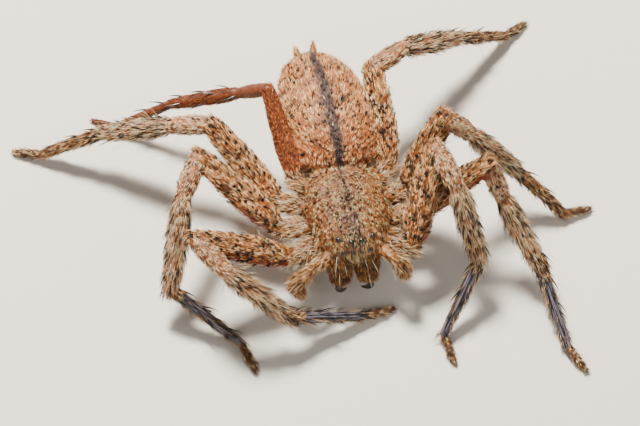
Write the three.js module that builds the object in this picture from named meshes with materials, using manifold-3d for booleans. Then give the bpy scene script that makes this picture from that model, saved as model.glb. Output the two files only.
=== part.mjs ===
// Huntsman spider, adult female, life size, as a still museum model.
// Millimetres, +Z up, head toward -Y, the spider's left side toward +X.
// The eight feet rest on small flats in the plane z = 0.
import * as THREE from 'three';
import { mergeVertices } from 'three/addons/utils/BufferGeometryUtils.js';
import Module from 'manifold-3d';

const wasm = await Module();
wasm.setup();

// Driving dimensions
const GAP = 0.3;
const ROOM = 0.34;
const EYE_GAP = 0.15;
const FLOOR = 0;
const ANKLE_HEIGHT = 0.9;
const TOE_SINK = 0.1;
const CUT_BLOCK = 80;

// Lengths of femur, patella, tibia, metatarsus and tarsus in each pair of legs
const LEG_LENGTHS = {
  1: [11.8, 4.9, 9.6, 9.2, 3.2],
  2: [12.4, 5.0, 10.4, 9.8, 3.4],
  3: [11.0, 4.4, 8.4, 7.8, 3.0],
  4: [11.4, 4.4, 8.8, 8.2, 3.0],
};

// Pose of each leg: the hip's place, each segment's heading seen from above,
// counted in degrees from +X toward +Y, and the climb of the first three
// segments. The last two segments come down to the floor by themselves.
const LEGS = {
  r1: { pair: 1, hip: [-7.0, -4.6, 5.5], heading: [173, -56, -30, 4, 12], climb: [25, -7, -36] },
  r2: { pair: 2, hip: [-7.6, -1.0, 5.5], heading: [138, -118, -108, -41, -72], climb: [27, -7, -38] },
  r3: { pair: 3, hip: [-7.4, 2.4, 5.5], heading: [127, 165, 163, 175, 160], climb: [24, -15, -26],
    reach: 1.04 },
  r4: { pair: 4, hip: [-5.0, 4.6, 5.4], heading: [103, 149, 168, 173, 149], climb: [37, -42, -24],
    reach: 0.97, stout: 0.76 },
  l1: { pair: 1, hip: [6.2, -5.3, 5.6], heading: [65, -71, -69, -128, -78], climb: [44, -12, -51] },
  l2: { pair: 2, hip: [6.9, -1.0, 5.0], heading: [7, -56, -61, -81, -61], climb: [43, -56, -37],
    reach: 0.93 },
  l3: { pair: 3, hip: [7.0, 2.2, 5.0], heading: [39, -18, -22, -36, 8], climb: [60, -42, -47] },
  l4: { pair: 4, hip: [5.5, 5.0, 5.4], heading: [91, 30, 22, 18, 32], climb: [23, -2, -29] },
};

// The one leg that has hardly any hair and is rusty all over
const SLEEK_LEG = 'r4';

// Root of each pair's coxa inside the prosoma, on the spider's left side
const COXA_ROOTS = { 1: [2.9, -3.0, 5.3], 2: [3.3, -1.0, 5.2], 3: [3.2, 1.1, 5.2], 4: [2.4, 2.8, 5.4] };

// Radius along each limb node, as pairs of place from 0 to 1 and radius
const COXA_GIRTH = [[0, 1.15], [1, 1.1]];
const FEMUR_GIRTH = [[0, 1.0], [0.18, 1.25], [0.38, 1.4], [0.7, 1.28], [1, 1.05]];
const SHANK_GIRTH = [[0, 1.0], [0.16, 1.1], [0.33, 0.98], [0.5, 1.1], [0.78, 0.98], [1, 0.8]];
const FOOT_GIRTH = [[0, 0.72], [0.5, 0.63], [0.75, 0.54], [1, 0.46]];
const LEG_SIDES = 8;
const FEMUR_WIDE = 1.24;
const SHANK_WIDE = 1.12;
const END_ROUNDING = 48;
const KNUCKLE = 0.5;

// Prosoma: carapace above the rim height, breastplate below it
const RIM_HEIGHT = 6.2;
const PROSOMA = {
  nose: [0, -6.0, 6.6],
  tail: [0, 4.5, 6.1],
  rim: RIM_HEIGHT,
  shift: () => 0,
  rings: [
    { y: -5.85, half: 2.1, top: 7.3, base: 6.0 },
    { y: -5.5, half: 2.75, top: 7.9, base: 5.5 },
    { y: -4.8, half: 3.1, top: 8.3, base: 4.9 },
    { y: -3.8, half: 3.5, top: 8.5, base: 4.5 },
    { y: -2.5, half: 4.15, top: 8.6, base: 4.3 },
    { y: -1.1, half: 4.6, top: 8.6, base: 4.2 },
    { y: 0.4, half: 4.7, top: 8.5, base: 4.2 },
    { y: 1.9, half: 4.2, top: 8.2, base: 4.4 },
    { y: 3.2, half: 3.2, top: 7.7, base: 4.7 },
    { y: 4.1, half: 1.9, top: 7.0, base: 5.2 },
  ],
};

// Abdomen: blunt behind, a little bent to the spider's right
const ABDOMEN = {
  nose: [0, 4.4, 7.9],
  tail: [-1.3, 19.9, 6.8],
  rim: 6.5,
  shift: (y) => -0.05 * (y - 5) - 0.5 * Math.max(0, (y - 12) / 8) ** 2,
  rings: [
    { y: 4.8, half: 1.6, top: 8.6, base: 7.1 },
    { y: 5.5, half: 2.7, top: 9.1, base: 6.0 },
    { y: 6.6, half: 3.6, top: 9.5, base: 4.8 },
    { y: 8.2, half: 4.3, top: 9.8, base: 3.8 },
    { y: 10.4, half: 4.8, top: 10.0, base: 3.2 },
    { y: 12.8, half: 5.0, top: 10.1, base: 3.0 },
    { y: 15.0, half: 4.9, top: 10.0, base: 3.2 },
    { y: 17.0, half: 4.3, top: 9.7, base: 3.7 },
    { y: 18.6, half: 3.3, top: 9.1, base: 4.5 },
    { y: 19.5, half: 2.1, top: 8.4, base: 5.3 },
  ],
};
const BODY_SIDES = 20;

// Small parts of the head, on the spider's left side
const JAW_SHIFT = -0.35;
const CHELICERA = { from: [1.4, -4.7, 6.3], to: [1.55, -7.0, 3.5] };
const CHELICERA_GIRTH = [[0, 1.3], [0.45, 1.45], [1, 1.05]];
const FANG_PATH = [[1.9, -7.2, 2.9], [1.6, -7.5, 1.9], [0.7, -7.1, 1.5]];
const FANG_GIRTH = [[0, 0.42], [0.5, 0.3], [1, 0.12]];
const PEDICEL = { from: [0, 3.4, 5.7], to: [0, 6.6, 5.9], radius: 0.75 };
const SPINNERETS = {
  r: { from: [-2.1, 18.2, 6.9], to: [-2.55, 20.5, 7.2] },
  l: { from: [-0.7, 18.4, 6.9], to: [-0.45, 20.8, 7.2] },
};
const SPINNERET_GIRTH = [[0, 0.62], [0.5, 0.55], [1, 0.38]];

// Palps: root, knee, wrist and tip
const PALPS = {
  r: [[-2.3, -4.6, 5.8], [-5.5, -6.9, 6.3], [-7.3, -7.6, 4.9], [-6.4, -8.0, 2.9]],
  l: [[2.3, -4.6, 5.8], [4.1, -6.6, 6.5], [4.8, -7.7, 5.2], [4.1, -7.8, 3.3]],
};
const PALP_GIRTHS = {
  femur: [[0, 0.6], [0.5, 0.78], [1, 0.72]],
  tibia: [[0, 0.7], [0.6, 0.86], [1, 0.8]],
  tarsus: [[0, 0.8], [0.45, 0.9], [1, 0.5]],
};

// Eyes, seen from the middle of the head: degrees from straight ahead toward
// the left, degrees up, and radius
const HEAD_MIDDLE = [0, -3.6, 6.5];
const EYES = {
  front_middle: { turn: 13, lift: 17, radius: 0.28 },
  front_side: { turn: 36, lift: 14, radius: 0.36 },
  rear_middle: { turn: 24, lift: 48, radius: 0.28 },
  rear_side: { turn: 68, lift: 34, radius: 0.34 },
};
const EYE_SUNK = 0.12;

// Coat: flat tapered locks of bristles that lie toward the tips, and spines.
// Rows are places from 0 to 1 along a limb, turns are degrees round it.
const LOCK_SINK = 0.45;
const LOCK_CLEAR = 0.34;
// Place along a lock, and its width and height there as parts of the full ones
const LOCK_RINGS = [[0.08, 0.55, 1], [0.5, 1, 0.9]];
const SHORTER = [1, 0.75, 0.55];
const COATS = {
  femur: { rows: [0.07, 0.32, 0.57], turns: [30, 150, 270], twist: 60 },
  shank: { rows: [0.04, 0.28, 0.54, 0.76], turns: [15, 90, 165], twist: 30 },
  foot: { rows: [0.1, 0.42], turns: [5, 175], twist: 25 },
  palp: { rows: [0.15, 0.5], turns: [30, 150], twist: 60 },
};
const LOCKS = {
  femur: { length: 3.6, wide: 2.2, thick: 0.6, lift: 0.5 },
  shank: { length: 3.4, wide: 1.7, thick: 0.55, lift: 0.5 },
  foot: { length: 2.6, wide: 1.0, thick: 0.5, lift: 0.4 },
  palp: { length: 1.7, wide: 1.0, thick: 0.5, lift: 0.35 },
  abdomen: { length: 3.8, wide: 2.6, thick: 0.6, lift: 0.5 },
  carapace: { length: 2.6, wide: 1.9, thick: 0.55, lift: 0.45 },
};
const ABDOMEN_COAT = { rows: [7.2, 10.6, 13.8, 16.8], turns: [10, 50, 90, 130, 170] };
const CARAPACE_COAT = { rows: [-3.6, -1.2, 1.4], turns: [32, 75, 105, 148] };
const SPINES = {
  shank: [[0.42, 55], [0.45, 235], [0.66, 125], [0.84, 60]],
  foot: [[0.12, 60], [0.16, 130], [0.38, 80]],
};
const SPINE = { length: 2.3, thick: 0.5, rise: 0.9 };
// Place along a spine and its half thickness there as part of the full thickness
const SPINE_RINGS = [[0, 0.7], [0.55, 0.5]];
// Degrees: draw round a limb, and every second row's turn on the body
const TURN_SPREAD = 10;
const BODY_TWIST = 18;
const DRAW_SEED = 20231;

// Colours of the coat, the bare places and the hard parts
const TAN = '#b98a5e';
const ROSE_TAN = '#bd8c66';
const RUST = '#9c4a1c';
const DARK_FOOT = '#6d5f58';
const HORN = '#5a4420';
const BLACK = '#0b0908';

const UP = new THREE.Vector3(0, 0, 1);
const vec = (a) => new THREE.Vector3(...a);
const mirrored = (a, side) => [side * a[0], a[1], a[2]];
const radians = THREE.MathUtils.degToRad;

function heading(turn, climb) {
  const flat = Math.cos(radians(climb));
  return new THREE.Vector3(
    flat * Math.cos(radians(turn)), flat * Math.sin(radians(turn)), Math.sin(radians(climb)));
}

// Closed skin over rings of points, with a pole at each end
function skinOver(rings, firstPole, lastPole) {
  const sides = rings[0].length;
  const points = [firstPole, ...rings.flat(), lastPole];
  const last = points.length - 1;
  const faces = [];
  for (let k = 0; k < sides; k += 1) {
    const next = (k + 1) % sides;
    faces.push(0, 1 + next, 1 + k);
    faces.push(last, last - sides + k, last - sides + next);
    for (let r = 0; r + 1 < rings.length; r += 1) {
      const near = 1 + r * sides;
      const far = near + sides;
      faces.push(near + k, far + next, far + k);
      faces.push(near + k, near + next, far + next);
    }
  }
  const geometry = new THREE.BufferGeometry().setFromPoints(points);
  geometry.setIndex(faces);
  return geometry;
}

// three.js geometry to a solid that can be joined and cut
function solid(geometry) {
  const bare = geometry.clone();
  bare.deleteAttribute('normal');
  bare.deleteAttribute('uv');
  const merged = mergeVertices(bare, 1e-5);
  return new wasm.Manifold(new wasm.Mesh({
    numProp: 3,
    vertProperties: new Float32Array(merged.attributes.position.array),
    triVerts: new Uint32Array(merged.index.array),
  }));
}

function largestOf(shape) {
  const bodies = shape.decompose();
  bodies.sort((a, b) => b.volume() - a.volume());
  return bodies[0];
}

function toMesh(name, shape, colour, roughness) {
  const data = largestOf(shape).getMesh();
  const geometry = new THREE.BufferGeometry();
  geometry.setAttribute('position', new THREE.Float32BufferAttribute(data.vertProperties, 3));
  geometry.setIndex(Array.from(data.triVerts));
  geometry.computeVertexNormals();
  const mesh = new THREE.Mesh(
    geometry, new THREE.MeshStandardMaterial({ color: colour, roughness, metalness: 0 }));
  mesh.name = name;
  return mesh;
}

// Value between the pairs of a girth list
function girthAt(girth, place) {
  let k = 0;
  while (k + 2 < girth.length && place > girth[k + 1][0]) k += 1;
  const [[a, ra], [b, rb]] = [girth[k], girth[k + 1]];
  const t = THREE.MathUtils.clamp((place - a) / (b - a), 0, 1);
  return ra + (rb - ra) * t;
}

// Point and direction at a distance along straight stretches between joints
function alongJoints(joints, distance) {
  let start = 0;
  for (let k = 0; k + 1 < joints.length; k += 1) {
    const span = joints[k + 1].clone().sub(joints[k]);
    const length = span.length();
    if (distance <= start + length || k + 2 === joints.length) {
      const ahead = span.normalize();
      return { at: joints[k].clone().addScaledVector(ahead, distance - start), ahead };
    }
    start += length;
  }
  return null;
}

function lengthOf(joints) {
  let total = 0;
  for (let k = 0; k + 1 < joints.length; k += 1) total += joints[k].distanceTo(joints[k + 1]);
  return total;
}

// Across and upward directions of a limb that runs toward ahead
function frameOf(ahead) {
  const across = new THREE.Vector3().crossVectors(ahead, UP).normalize();
  const upward = new THREE.Vector3().crossVectors(across, ahead).normalize();
  return { across, upward };
}

// A limb through its joints, round at both ends; grow makes a fatter copy
function limb(joints, girth, { grow = 0, sides = LEG_SIDES, wide = 1 } = {}) {
  const total = lengthOf(joints);
  const start = girth[0][1] + grow;
  const end = girth[girth.length - 1][1] + grow;
  const rounding = radians(END_ROUNDING);
  const stops = [
    { s: -start * Math.sin(rounding), radius: start * Math.cos(rounding) },
    { s: total + end * Math.sin(rounding), radius: end * Math.cos(rounding) },
  ];
  const bends = joints.slice(1, -1).map((_, k) => lengthOf(joints.slice(0, k + 2)));
  const clear = (s) => bends.every((b) => Math.abs(s - b) > KNUCKLE);
  for (const [place] of girth) {
    if (clear(place * total)) stops.push({ s: place * total });
  }
  for (const b of bends) stops.push({ s: b - KNUCKLE }, { s: b, bend: true }, { s: b + KNUCKLE });
  stops.sort((a, b) => a.s - b.s);
  const rings = stops.map((stop) => {
    const { at, ahead } = alongJoints(joints, stop.s);
    if (stop.bend) ahead.add(alongJoints(joints, stop.s + KNUCKLE).ahead).normalize();
    const { across, upward } = frameOf(ahead);
    const radius = stop.radius ?? girthAt(girth, stop.s / total) + grow;
    return Array.from({ length: sides }, (_, k) => {
      const turn = (2 * Math.PI * (k + 0.5)) / sides;
      return at.clone()
        .addScaledVector(across, radius * wide * Math.cos(turn))
        .addScaledVector(upward, -radius * Math.sin(turn));
    });
  });
  return solid(skinOver(rings, alongJoints(joints, -start).at, alongJoints(joints, total + end).at));
}

// Ring of the prosoma or the abdomen at a place along Y
function bodyRing(body, y) {
  const rings = body.rings;
  let k = 0;
  while (k + 2 < rings.length && y > rings[k + 1].y) k += 1;
  const [a, b] = [rings[k], rings[k + 1]];
  const t = THREE.MathUtils.clamp((y - a.y) / (b.y - a.y), 0, 1);
  const mix = (key) => a[key] + (b[key] - a[key]) * t;
  return { y, half: mix('half'), top: mix('top'), base: mix('base') };
}

function bodyPoint(body, ring, turn, grow = 0) {
  const rim = THREE.MathUtils.clamp(body.rim, ring.base + 0.1, ring.top - 0.1);
  const rise = Math.sin(turn);
  const reach = (rise > 0 ? ring.top - rim : rim - ring.base) + grow;
  return new THREE.Vector3(
    body.shift(ring.y) + (ring.half + grow) * Math.cos(turn), ring.y, rim + reach * rise);
}

function bodySolid(body, grow = 0) {
  const middle = (body.nose[1] + body.tail[1]) / 2;
  const rings = body.rings.map((ring) => Array.from({ length: BODY_SIDES }, (_, k) => {
    const point = bodyPoint(body, ring, -(2 * Math.PI * k) / BODY_SIDES, grow);
    point.y += grow * Math.sign(ring.y - middle) * ((ring.y - middle) / (body.tail[1] - middle)) ** 2;
    return point;
  }));
  const nose = vec(body.nose).add(new THREE.Vector3(0, -grow, 0));
  const tail = vec(body.tail).add(new THREE.Vector3(0, grow, 0));
  return solid(skinOver(rings, nose, tail));
}

// Takes away all that lies past a plane, on the side that its normal points to
function cutPast(shape, point, normal) {
  const block = new THREE.BoxGeometry(CUT_BLOCK, CUT_BLOCK, CUT_BLOCK).translate(0, 0, CUT_BLOCK / 2);
  block.applyQuaternion(new THREE.Quaternion().setFromUnitVectors(UP, normal.clone().normalize()));
  block.translate(point.x, point.y, point.z);
  return shape.subtract(solid(block));
}

// Trims two limbs that share a joint along the plane that halves their bend
function mitre(near, far, joint, before, after) {
  const normal = before.clone().add(after).normalize();
  const nearFace = joint.clone().addScaledVector(normal, -GAP / 2);
  const farFace = joint.clone().addScaledVector(normal, GAP / 2);
  return [cutPast(near, nearFace, normal), cutPast(far, farFace, normal.clone().negate())];
}

// Joints of one leg, from the coxa's root to the toe
function legJoints(name) {
  const leg = LEGS[name];
  const side = name[0] === 'l' ? 1 : -1;
  const joints = [vec(mirrored(COXA_ROOTS[leg.pair], side)), vec(leg.hip)];
  const toe = FOOT_GIRTH[FOOT_GIRTH.length - 1][1] * (leg.stout ?? 1);
  LEG_LENGTHS[leg.pair].forEach((size, k) => {
    const length = size * (leg.reach ?? 1);
    const from = joints[joints.length - 1];
    const landing = k === 3 ? ANKLE_HEIGHT : toe - TOE_SINK;
    const climb = k < 3 ? leg.climb[k] : THREE.MathUtils.radToDeg(Math.asin((landing - from.z) / length));
    joints.push(from.clone().addScaledVector(heading(leg.heading[k], climb), length));
  });
  return joints;
}

const scaled = (girth, factor) => girth.map(([place, radius]) => [place, radius * factor]);
const aheadOf = (joints, k) => joints[k + 1].clone().sub(joints[k]).normalize();

const prosomaCore = bodySolid(PROSOMA);
const prosomaRoom = bodySolid(PROSOMA, ROOM);
const abdomenCore = bodySolid(ABDOMEN);
const abdomenRoom = bodySolid(ABDOMEN, ROOM);

// One leg: coxa, femur, shank of patella and tibia, foot of metatarsus and tarsus
function buildLeg(name) {
  const joints = legJoints(name);
  const stout = LEGS[name].stout ?? 1;
  const [root, hip, knee, , ankle] = joints;
  let coxa = limb([root, hip], scaled(COXA_GIRTH, Math.max(stout, 0.9))).subtract(prosomaRoom);
  let femur = limb([hip, knee], scaled(FEMUR_GIRTH, stout), { wide: FEMUR_WIDE });
  let shank = limb(joints.slice(2, 5), scaled(SHANK_GIRTH, stout), { wide: SHANK_WIDE });
  let foot = limb(joints.slice(4, 7), scaled(FOOT_GIRTH, stout));
  [coxa, femur] = mitre(coxa, femur, hip, aheadOf(joints, 0), aheadOf(joints, 1));
  [femur, shank] = mitre(femur, shank, knee, aheadOf(joints, 1), aheadOf(joints, 2));
  [shank, foot] = mitre(shank, foot, ankle, aheadOf(joints, 3), aheadOf(joints, 4));
  foot = cutPast(foot, new THREE.Vector3(0, 0, FLOOR), UP.clone().negate());
  return { joints, coxa, femur, shank, foot };
}

const legs = Object.fromEntries(Object.keys(LEGS).map((name) => [name, buildLeg(name)]));

// Soft flanks give way where a raised femur lies against them
const femurRoom = (name) => limb(
  legs[name].joints.slice(1, 3), scaled(FEMUR_GIRTH, LEGS[name].stout ?? 1),
  { grow: ROOM, wide: FEMUR_WIDE });
legs.l1.femur = legs.l1.femur.subtract(femurRoom('l2'));
const abdomen = abdomenCore.subtract(femurRoom('l4')).subtract(femurRoom('r4'));

// Parts neighbouring coxae of one side along the plane between them
for (const side of ['r', 'l']) {
  for (const pair of [1, 2, 3]) {
    const front = legs[side + pair];
    const rear = legs[side + (pair + 1)];
    const inner = front.joints[0].clone().add(rear.joints[0]).multiplyScalar(0.5);
    const outer = front.joints[1].clone().add(rear.joints[1]).multiplyScalar(0.5);
    const normal = outer.sub(inner).cross(UP).normalize();
    if (normal.y < 0) normal.negate();
    front.coxa = cutPast(front.coxa, inner.clone().addScaledVector(normal, -GAP / 2), normal);
    rear.coxa = cutPast(rear.coxa, inner.clone().addScaledVector(normal, GAP / 2), normal.negate());
  }
}

// Where a line from the middle of the head leaves the carapace
function headSurface(ahead) {
  const inside = (p) => {
    const ring = bodyRing(PROSOMA, p.y);
    const reach = p.z > RIM_HEIGHT ? ring.top - RIM_HEIGHT : RIM_HEIGHT - ring.base;
    const ends = p.y > PROSOMA.nose[1] + 0.1;
    return ends && (p.x / ring.half) ** 2 + ((p.z - RIM_HEIGHT) / reach) ** 2 < 1;
  };
  let [near, far] = [0, 8];
  for (let k = 0; k < 20; k += 1) {
    const middle = (near + far) / 2;
    if (inside(vec(HEAD_MIDDLE).addScaledVector(ahead, middle))) near = middle;
    else far = middle;
  }
  return vec(HEAD_MIDDLE).addScaledVector(ahead, near);
}

function ball(centre, radius) {
  return solid(new THREE.SphereGeometry(radius, 8, 4).translate(centre.x, centre.y, centre.z));
}

// Eight eyes, each in a shallow socket of the carapace
function buildEyes() {
  const eyes = [];
  for (const [place, eye] of Object.entries(EYES)) {
    for (const [side, sign] of [['r', -1], ['l', 1]]) {
      const ahead = heading(-90 + sign * eye.turn, eye.lift);
      const centre = headSurface(ahead).addScaledVector(ahead, -EYE_SUNK);
      eyes.push({ name: `eye_${place}_${side}`, centre, radius: eye.radius });
    }
  }
  return eyes;
}

const eyes = buildEyes();
const sockets = eyes.map((eye) => ball(eye.centre, eye.radius + EYE_GAP));
const prosoma = sockets.reduce((shape, socket) => shape.subtract(socket), prosomaCore);

// Jaws, each with its fang folded in under it
function buildJaw(sign) {
  const place = (point) => vec(mirrored(point, sign)).add(new THREE.Vector3(JAW_SHIFT, 0, 0));
  const path = [place(CHELICERA.from), place(CHELICERA.to)];
  const inward = new THREE.Vector3(-sign, 0, 0);
  const face = new THREE.Vector3(JAW_SHIFT + (sign * GAP) / 2, 0, 0);
  const room = limb(path, CHELICERA_GIRTH, { grow: ROOM });
  const jaw = cutPast(limb(path, CHELICERA_GIRTH), face, inward).subtract(prosomaRoom);
  const fang = cutPast(limb(FANG_PATH.map(place), FANG_GIRTH, { sides: 6 }), face, inward).subtract(room);
  return { jaw, fang, room };
}

const jaws = { r: buildJaw(-1), l: buildJaw(1) };

// Palps: femur, tibia with patella, and the hairy tarsus, clear of jaws and coxae
function buildPalp(side) {
  const joints = PALPS[side].map(vec);
  const [root, knee, wrist, tip] = joints;
  let femur = limb([root, knee], PALP_GIRTHS.femur);
  let tibia = limb([knee, wrist], PALP_GIRTHS.tibia);
  let tarsus = limb([wrist, tip], PALP_GIRTHS.tarsus);
  [femur, tibia] = mitre(femur, tibia, knee, aheadOf(joints, 0), aheadOf(joints, 1));
  [tibia, tarsus] = mitre(tibia, tarsus, wrist, aheadOf(joints, 1), aheadOf(joints, 2));
  const leg = legs[side + 1];
  const coxaRoom = limb(leg.joints.slice(0, 2), COXA_GIRTH, { grow: ROOM });
  femur = femur.subtract(prosomaRoom).subtract(jaws[side].room).subtract(coxaRoom);
  return { femur, tibia: tibia.subtract(jaws[side].room), tarsus: tarsus.subtract(jaws[side].room) };
}

const palps = { r: buildPalp('r'), l: buildPalp('l') };

const pedicel = limb(
  [vec(PEDICEL.from), vec(PEDICEL.to)], [[0, PEDICEL.radius], [1, PEDICEL.radius]],
).subtract(prosomaRoom).subtract(abdomenRoom);

const spinnerets = Object.entries(SPINNERETS).map(([side, { from, to }]) => ({
  name: `spinneret_${side}`,
  shape: limb([vec(from), vec(to)], SPINNERET_GIRTH, { sides: 7 }).subtract(abdomenRoom),
}));

// Every node by name: its solid, colour and roughness
const nodes = new Map();
const keep = (name, shape, colour, roughness = 0.8) => nodes.set(name, { shape, colour, roughness });

keep('prosoma', prosoma, ROSE_TAN);
keep('pedicel', pedicel, RUST);
keep('abdomen', abdomen, TAN);
for (const { name, shape } of spinnerets) keep(name, shape, TAN);
for (const side of ['r', 'l']) {
  keep(`chelicera_${side}`, jaws[side].jaw, HORN, 0.45);
  keep(`fang_${side}`, jaws[side].fang, BLACK, 0.25);
  keep(`palp_${side}_femur`, palps[side].femur, TAN);
  keep(`palp_${side}_tibia`, palps[side].tibia, TAN);
  keep(`palp_${side}_tarsus`, palps[side].tarsus, RUST);
}
for (const eye of eyes) keep(eye.name, ball(eye.centre, eye.radius), BLACK, 0.1);
for (const [name, leg] of Object.entries(legs)) {
  const coat = name === SLEEK_LEG ? RUST : TAN;
  keep(`leg_${name}_coxa`, leg.coxa, coat);
  keep(`leg_${name}_femur`, leg.femur, coat);
  keep(`leg_${name}_shank`, leg.shank, coat);
  keep(`leg_${name}_foot`, leg.foot, name === SLEEK_LEG ? RUST : DARK_FOOT);
}

// Seeded draws from 0 to 1
let drawState = DRAW_SEED;
function draw() {
  drawState = (drawState * 1664525 + 1013904223) % 4294967296;
  return drawState / 4294967296;
}
const about = (size, spread) => size * (1 + spread * (2 * draw() - 1));

// A flat lock that leaves the skin at its root, bends over and tapers to a tip
function lock(root, outward, lay, { length, wide, thick, lift }, grow) {
  const side = new THREE.Vector3().crossVectors(lay, outward).normalize();
  const start = root.clone().addScaledVector(outward, -LOCK_SINK);
  const bend = root.clone().addScaledVector(outward, lift).addScaledVector(lay, length * 0.35);
  const tip = root.clone().addScaledVector(outward, lift + 0.1).addScaledVector(lay, length);
  const curve = new THREE.QuadraticBezierCurve3(start, bend, tip);
  const rings = LOCK_RINGS.map(([place, width, height]) => {
    const at = curve.getPoint(place);
    const over = new THREE.Vector3().crossVectors(side, curve.getTangent(place));
    const [w, h] = [(wide * width) / 2 + grow, (thick * height) / 2 + grow];
    return [[w, h], [0, -h], [-w, h]].map(([a, b]) => at.clone()
      .addScaledVector(side, a).addScaledVector(over, b));
  });
  return solid(skinOver(rings, curve.getPoint(0), tip.clone().addScaledVector(lay, grow)));
}

// A stiff spine: four-sided, thick at its root
function spine(root, outward, lay, { length, thick, rise }, grow) {
  const ahead = lay.clone().addScaledVector(outward, rise).normalize();
  const side = new THREE.Vector3().crossVectors(ahead, outward).normalize();
  const over = new THREE.Vector3().crossVectors(side, ahead);
  const start = root.clone().addScaledVector(ahead, -LOCK_SINK);
  const rings = SPINE_RINGS.map(([place, half]) => {
    const at = start.clone().addScaledVector(ahead, place * length);
    const r = thick * half + grow;
    return [[r, 0], [0, -r], [-r, 0], [0, r]].map(([a, b]) => at.clone()
      .addScaledVector(side, a).addScaledVector(over, b));
  });
  const tip = start.clone().addScaledVector(ahead, length + grow);
  return solid(skinOver(rings, start, tip));
}

const boxOf = (shape) => {
  const { min, max } = shape.boundingBox();
  return new THREE.Box3(vec(min), vec(max));
};

// Whether a piece, grown by the room it needs, is clear of the floor and the other nodes
function isClear(name, grown) {
  const reach = boxOf(grown);
  if (reach.min.z < FLOOR) return false;
  return [...nodes].every(([other, { shape }]) => other === name
    || !boxOf(shape).intersectsBox(reach) || grown.intersect(shape).isEmpty());
}

// Joins a lock or spine to its node, shorter where the full one would not be clear
function plant(name, make) {
  const part = SHORTER.find((shorter) => isClear(name, make(shorter, LOCK_CLEAR)));
  if (!part) return;
  const node = nodes.get(name);
  node.shape = node.shape.add(make(part, 0));
}

// Place, outward and forward directions on a limb's skin
function limbSkin(joints, girth, wide, place, turn) {
  const total = lengthOf(joints);
  const { at, ahead } = alongJoints(joints, place * total);
  const { across, upward } = frameOf(ahead);
  const radius = girthAt(girth, place);
  const skin = at.clone()
    .addScaledVector(across, radius * wide * Math.cos(radians(turn)))
    .addScaledVector(upward, radius * Math.sin(radians(turn)));
  const outward = across.multiplyScalar(Math.cos(radians(turn)) / wide)
    .addScaledVector(upward, Math.sin(radians(turn))).normalize();
  return { skin, outward, ahead };
}

// A lock of about the named sizes, planted at a place on the skin
function plantLock(name, at, outward, lay, size) {
  const length = about(size.length, 0.12);
  const lift = about(size.lift, 0.2);
  plant(name, (part, grow) => lock(
    at, outward, lay, { ...size, length: length * part, lift: lift * part }, grow));
}

// Locks in rows along a limb, lying toward its tip
function coatLimb(name, joints, girth, wide, coat, size) {
  coat.rows.forEach((row, k) => {
    for (const turn of coat.turns) {
      const spun = turn + (k % 2) * coat.twist + TURN_SPREAD * (draw() - 0.5);
      const { skin, outward, ahead } = limbSkin(joints, girth, wide, row, spun);
      plantLock(name, skin, outward, ahead, size);
    }
  });
}

function spikeLimb(name, joints, girth, wide, places) {
  for (const [place, turn] of places) {
    const { skin, outward, ahead } = limbSkin(joints, girth, wide, place, turn);
    plant(name, (part, grow) => spine(
      skin, outward, ahead, { ...SPINE, length: SPINE.length * part }, grow));
  }
}

// Locks in rows on the prosoma or the abdomen; layAt gives the way that the coat lies
function coatBody(name, body, coat, size, layAt) {
  coat.rows.forEach((y, k) => {
    for (const turn of coat.turns) {
      const spun = radians(turn + (k % 2) * BODY_TWIST);
      const at = bodyPoint(body, bodyRing(body, y), spun);
      const along = bodyPoint(body, bodyRing(body, y + 0.2), spun).sub(at);
      const round = bodyPoint(body, bodyRing(body, y), spun + 0.05).sub(at);
      const outward = new THREE.Vector3().crossVectors(round, along).normalize();
      const lay = layAt(at).projectOnPlane(outward).normalize();
      plantLock(name, at, outward, lay, size);
    }
  });
}

for (const [name, leg] of Object.entries(legs)) {
  const { joints } = leg;
  const [femur, shank, foot] = [joints.slice(1, 3), joints.slice(2, 5), joints.slice(4, 7)];
  const [femurGirth, shankGirth, footGirth] = [FEMUR_GIRTH, SHANK_GIRTH, FOOT_GIRTH]
    .map((girth) => scaled(girth, LEGS[name].stout ?? 1));
  if (name !== SLEEK_LEG) {
    coatLimb(`leg_${name}_femur`, femur, femurGirth, FEMUR_WIDE, COATS.femur, LOCKS.femur);
    coatLimb(`leg_${name}_shank`, shank, shankGirth, SHANK_WIDE, COATS.shank, LOCKS.shank);
    coatLimb(`leg_${name}_foot`, foot, footGirth, 1, COATS.foot, LOCKS.foot);
  }
  spikeLimb(`leg_${name}_shank`, shank, shankGirth, SHANK_WIDE, SPINES.shank);
  spikeLimb(`leg_${name}_foot`, foot, footGirth, 1, SPINES.foot);
}
for (const side of ['r', 'l']) {
  const [, knee, wrist, tip] = PALPS[side].map(vec);
  coatLimb(`palp_${side}_tibia`, [knee, wrist], PALP_GIRTHS.tibia, 1, COATS.palp, LOCKS.palp);
  coatLimb(`palp_${side}_tarsus`, [wrist, tip], PALP_GIRTHS.tarsus, 1, COATS.palp, LOCKS.palp);
}
// The abdomen's locks lie backward, the carapace's forward and outward
coatBody('abdomen', ABDOMEN, ABDOMEN_COAT, LOCKS.abdomen, () => new THREE.Vector3(0, 1, 0));
coatBody('prosoma', PROSOMA, CARAPACE_COAT, LOCKS.carapace,
  (at) => new THREE.Vector3(at.x, at.y - 1, 0));

const spider = new THREE.Group();
for (const [name, node] of nodes) spider.add(toMesh(name, node.shape, node.colour, node.roughness));

// The origin goes to the middle of the box that holds the spider, on the floor
const box = new THREE.Box3().setFromObject(spider);
const middle = box.getCenter(new THREE.Vector3());
spider.children.forEach((mesh) => mesh.geometry.translate(-middle.x, -middle.y, -box.min.z));

export default spider;
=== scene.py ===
import math

import bpy
import numpy as np
from mathutils import Matrix, Vector


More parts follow.
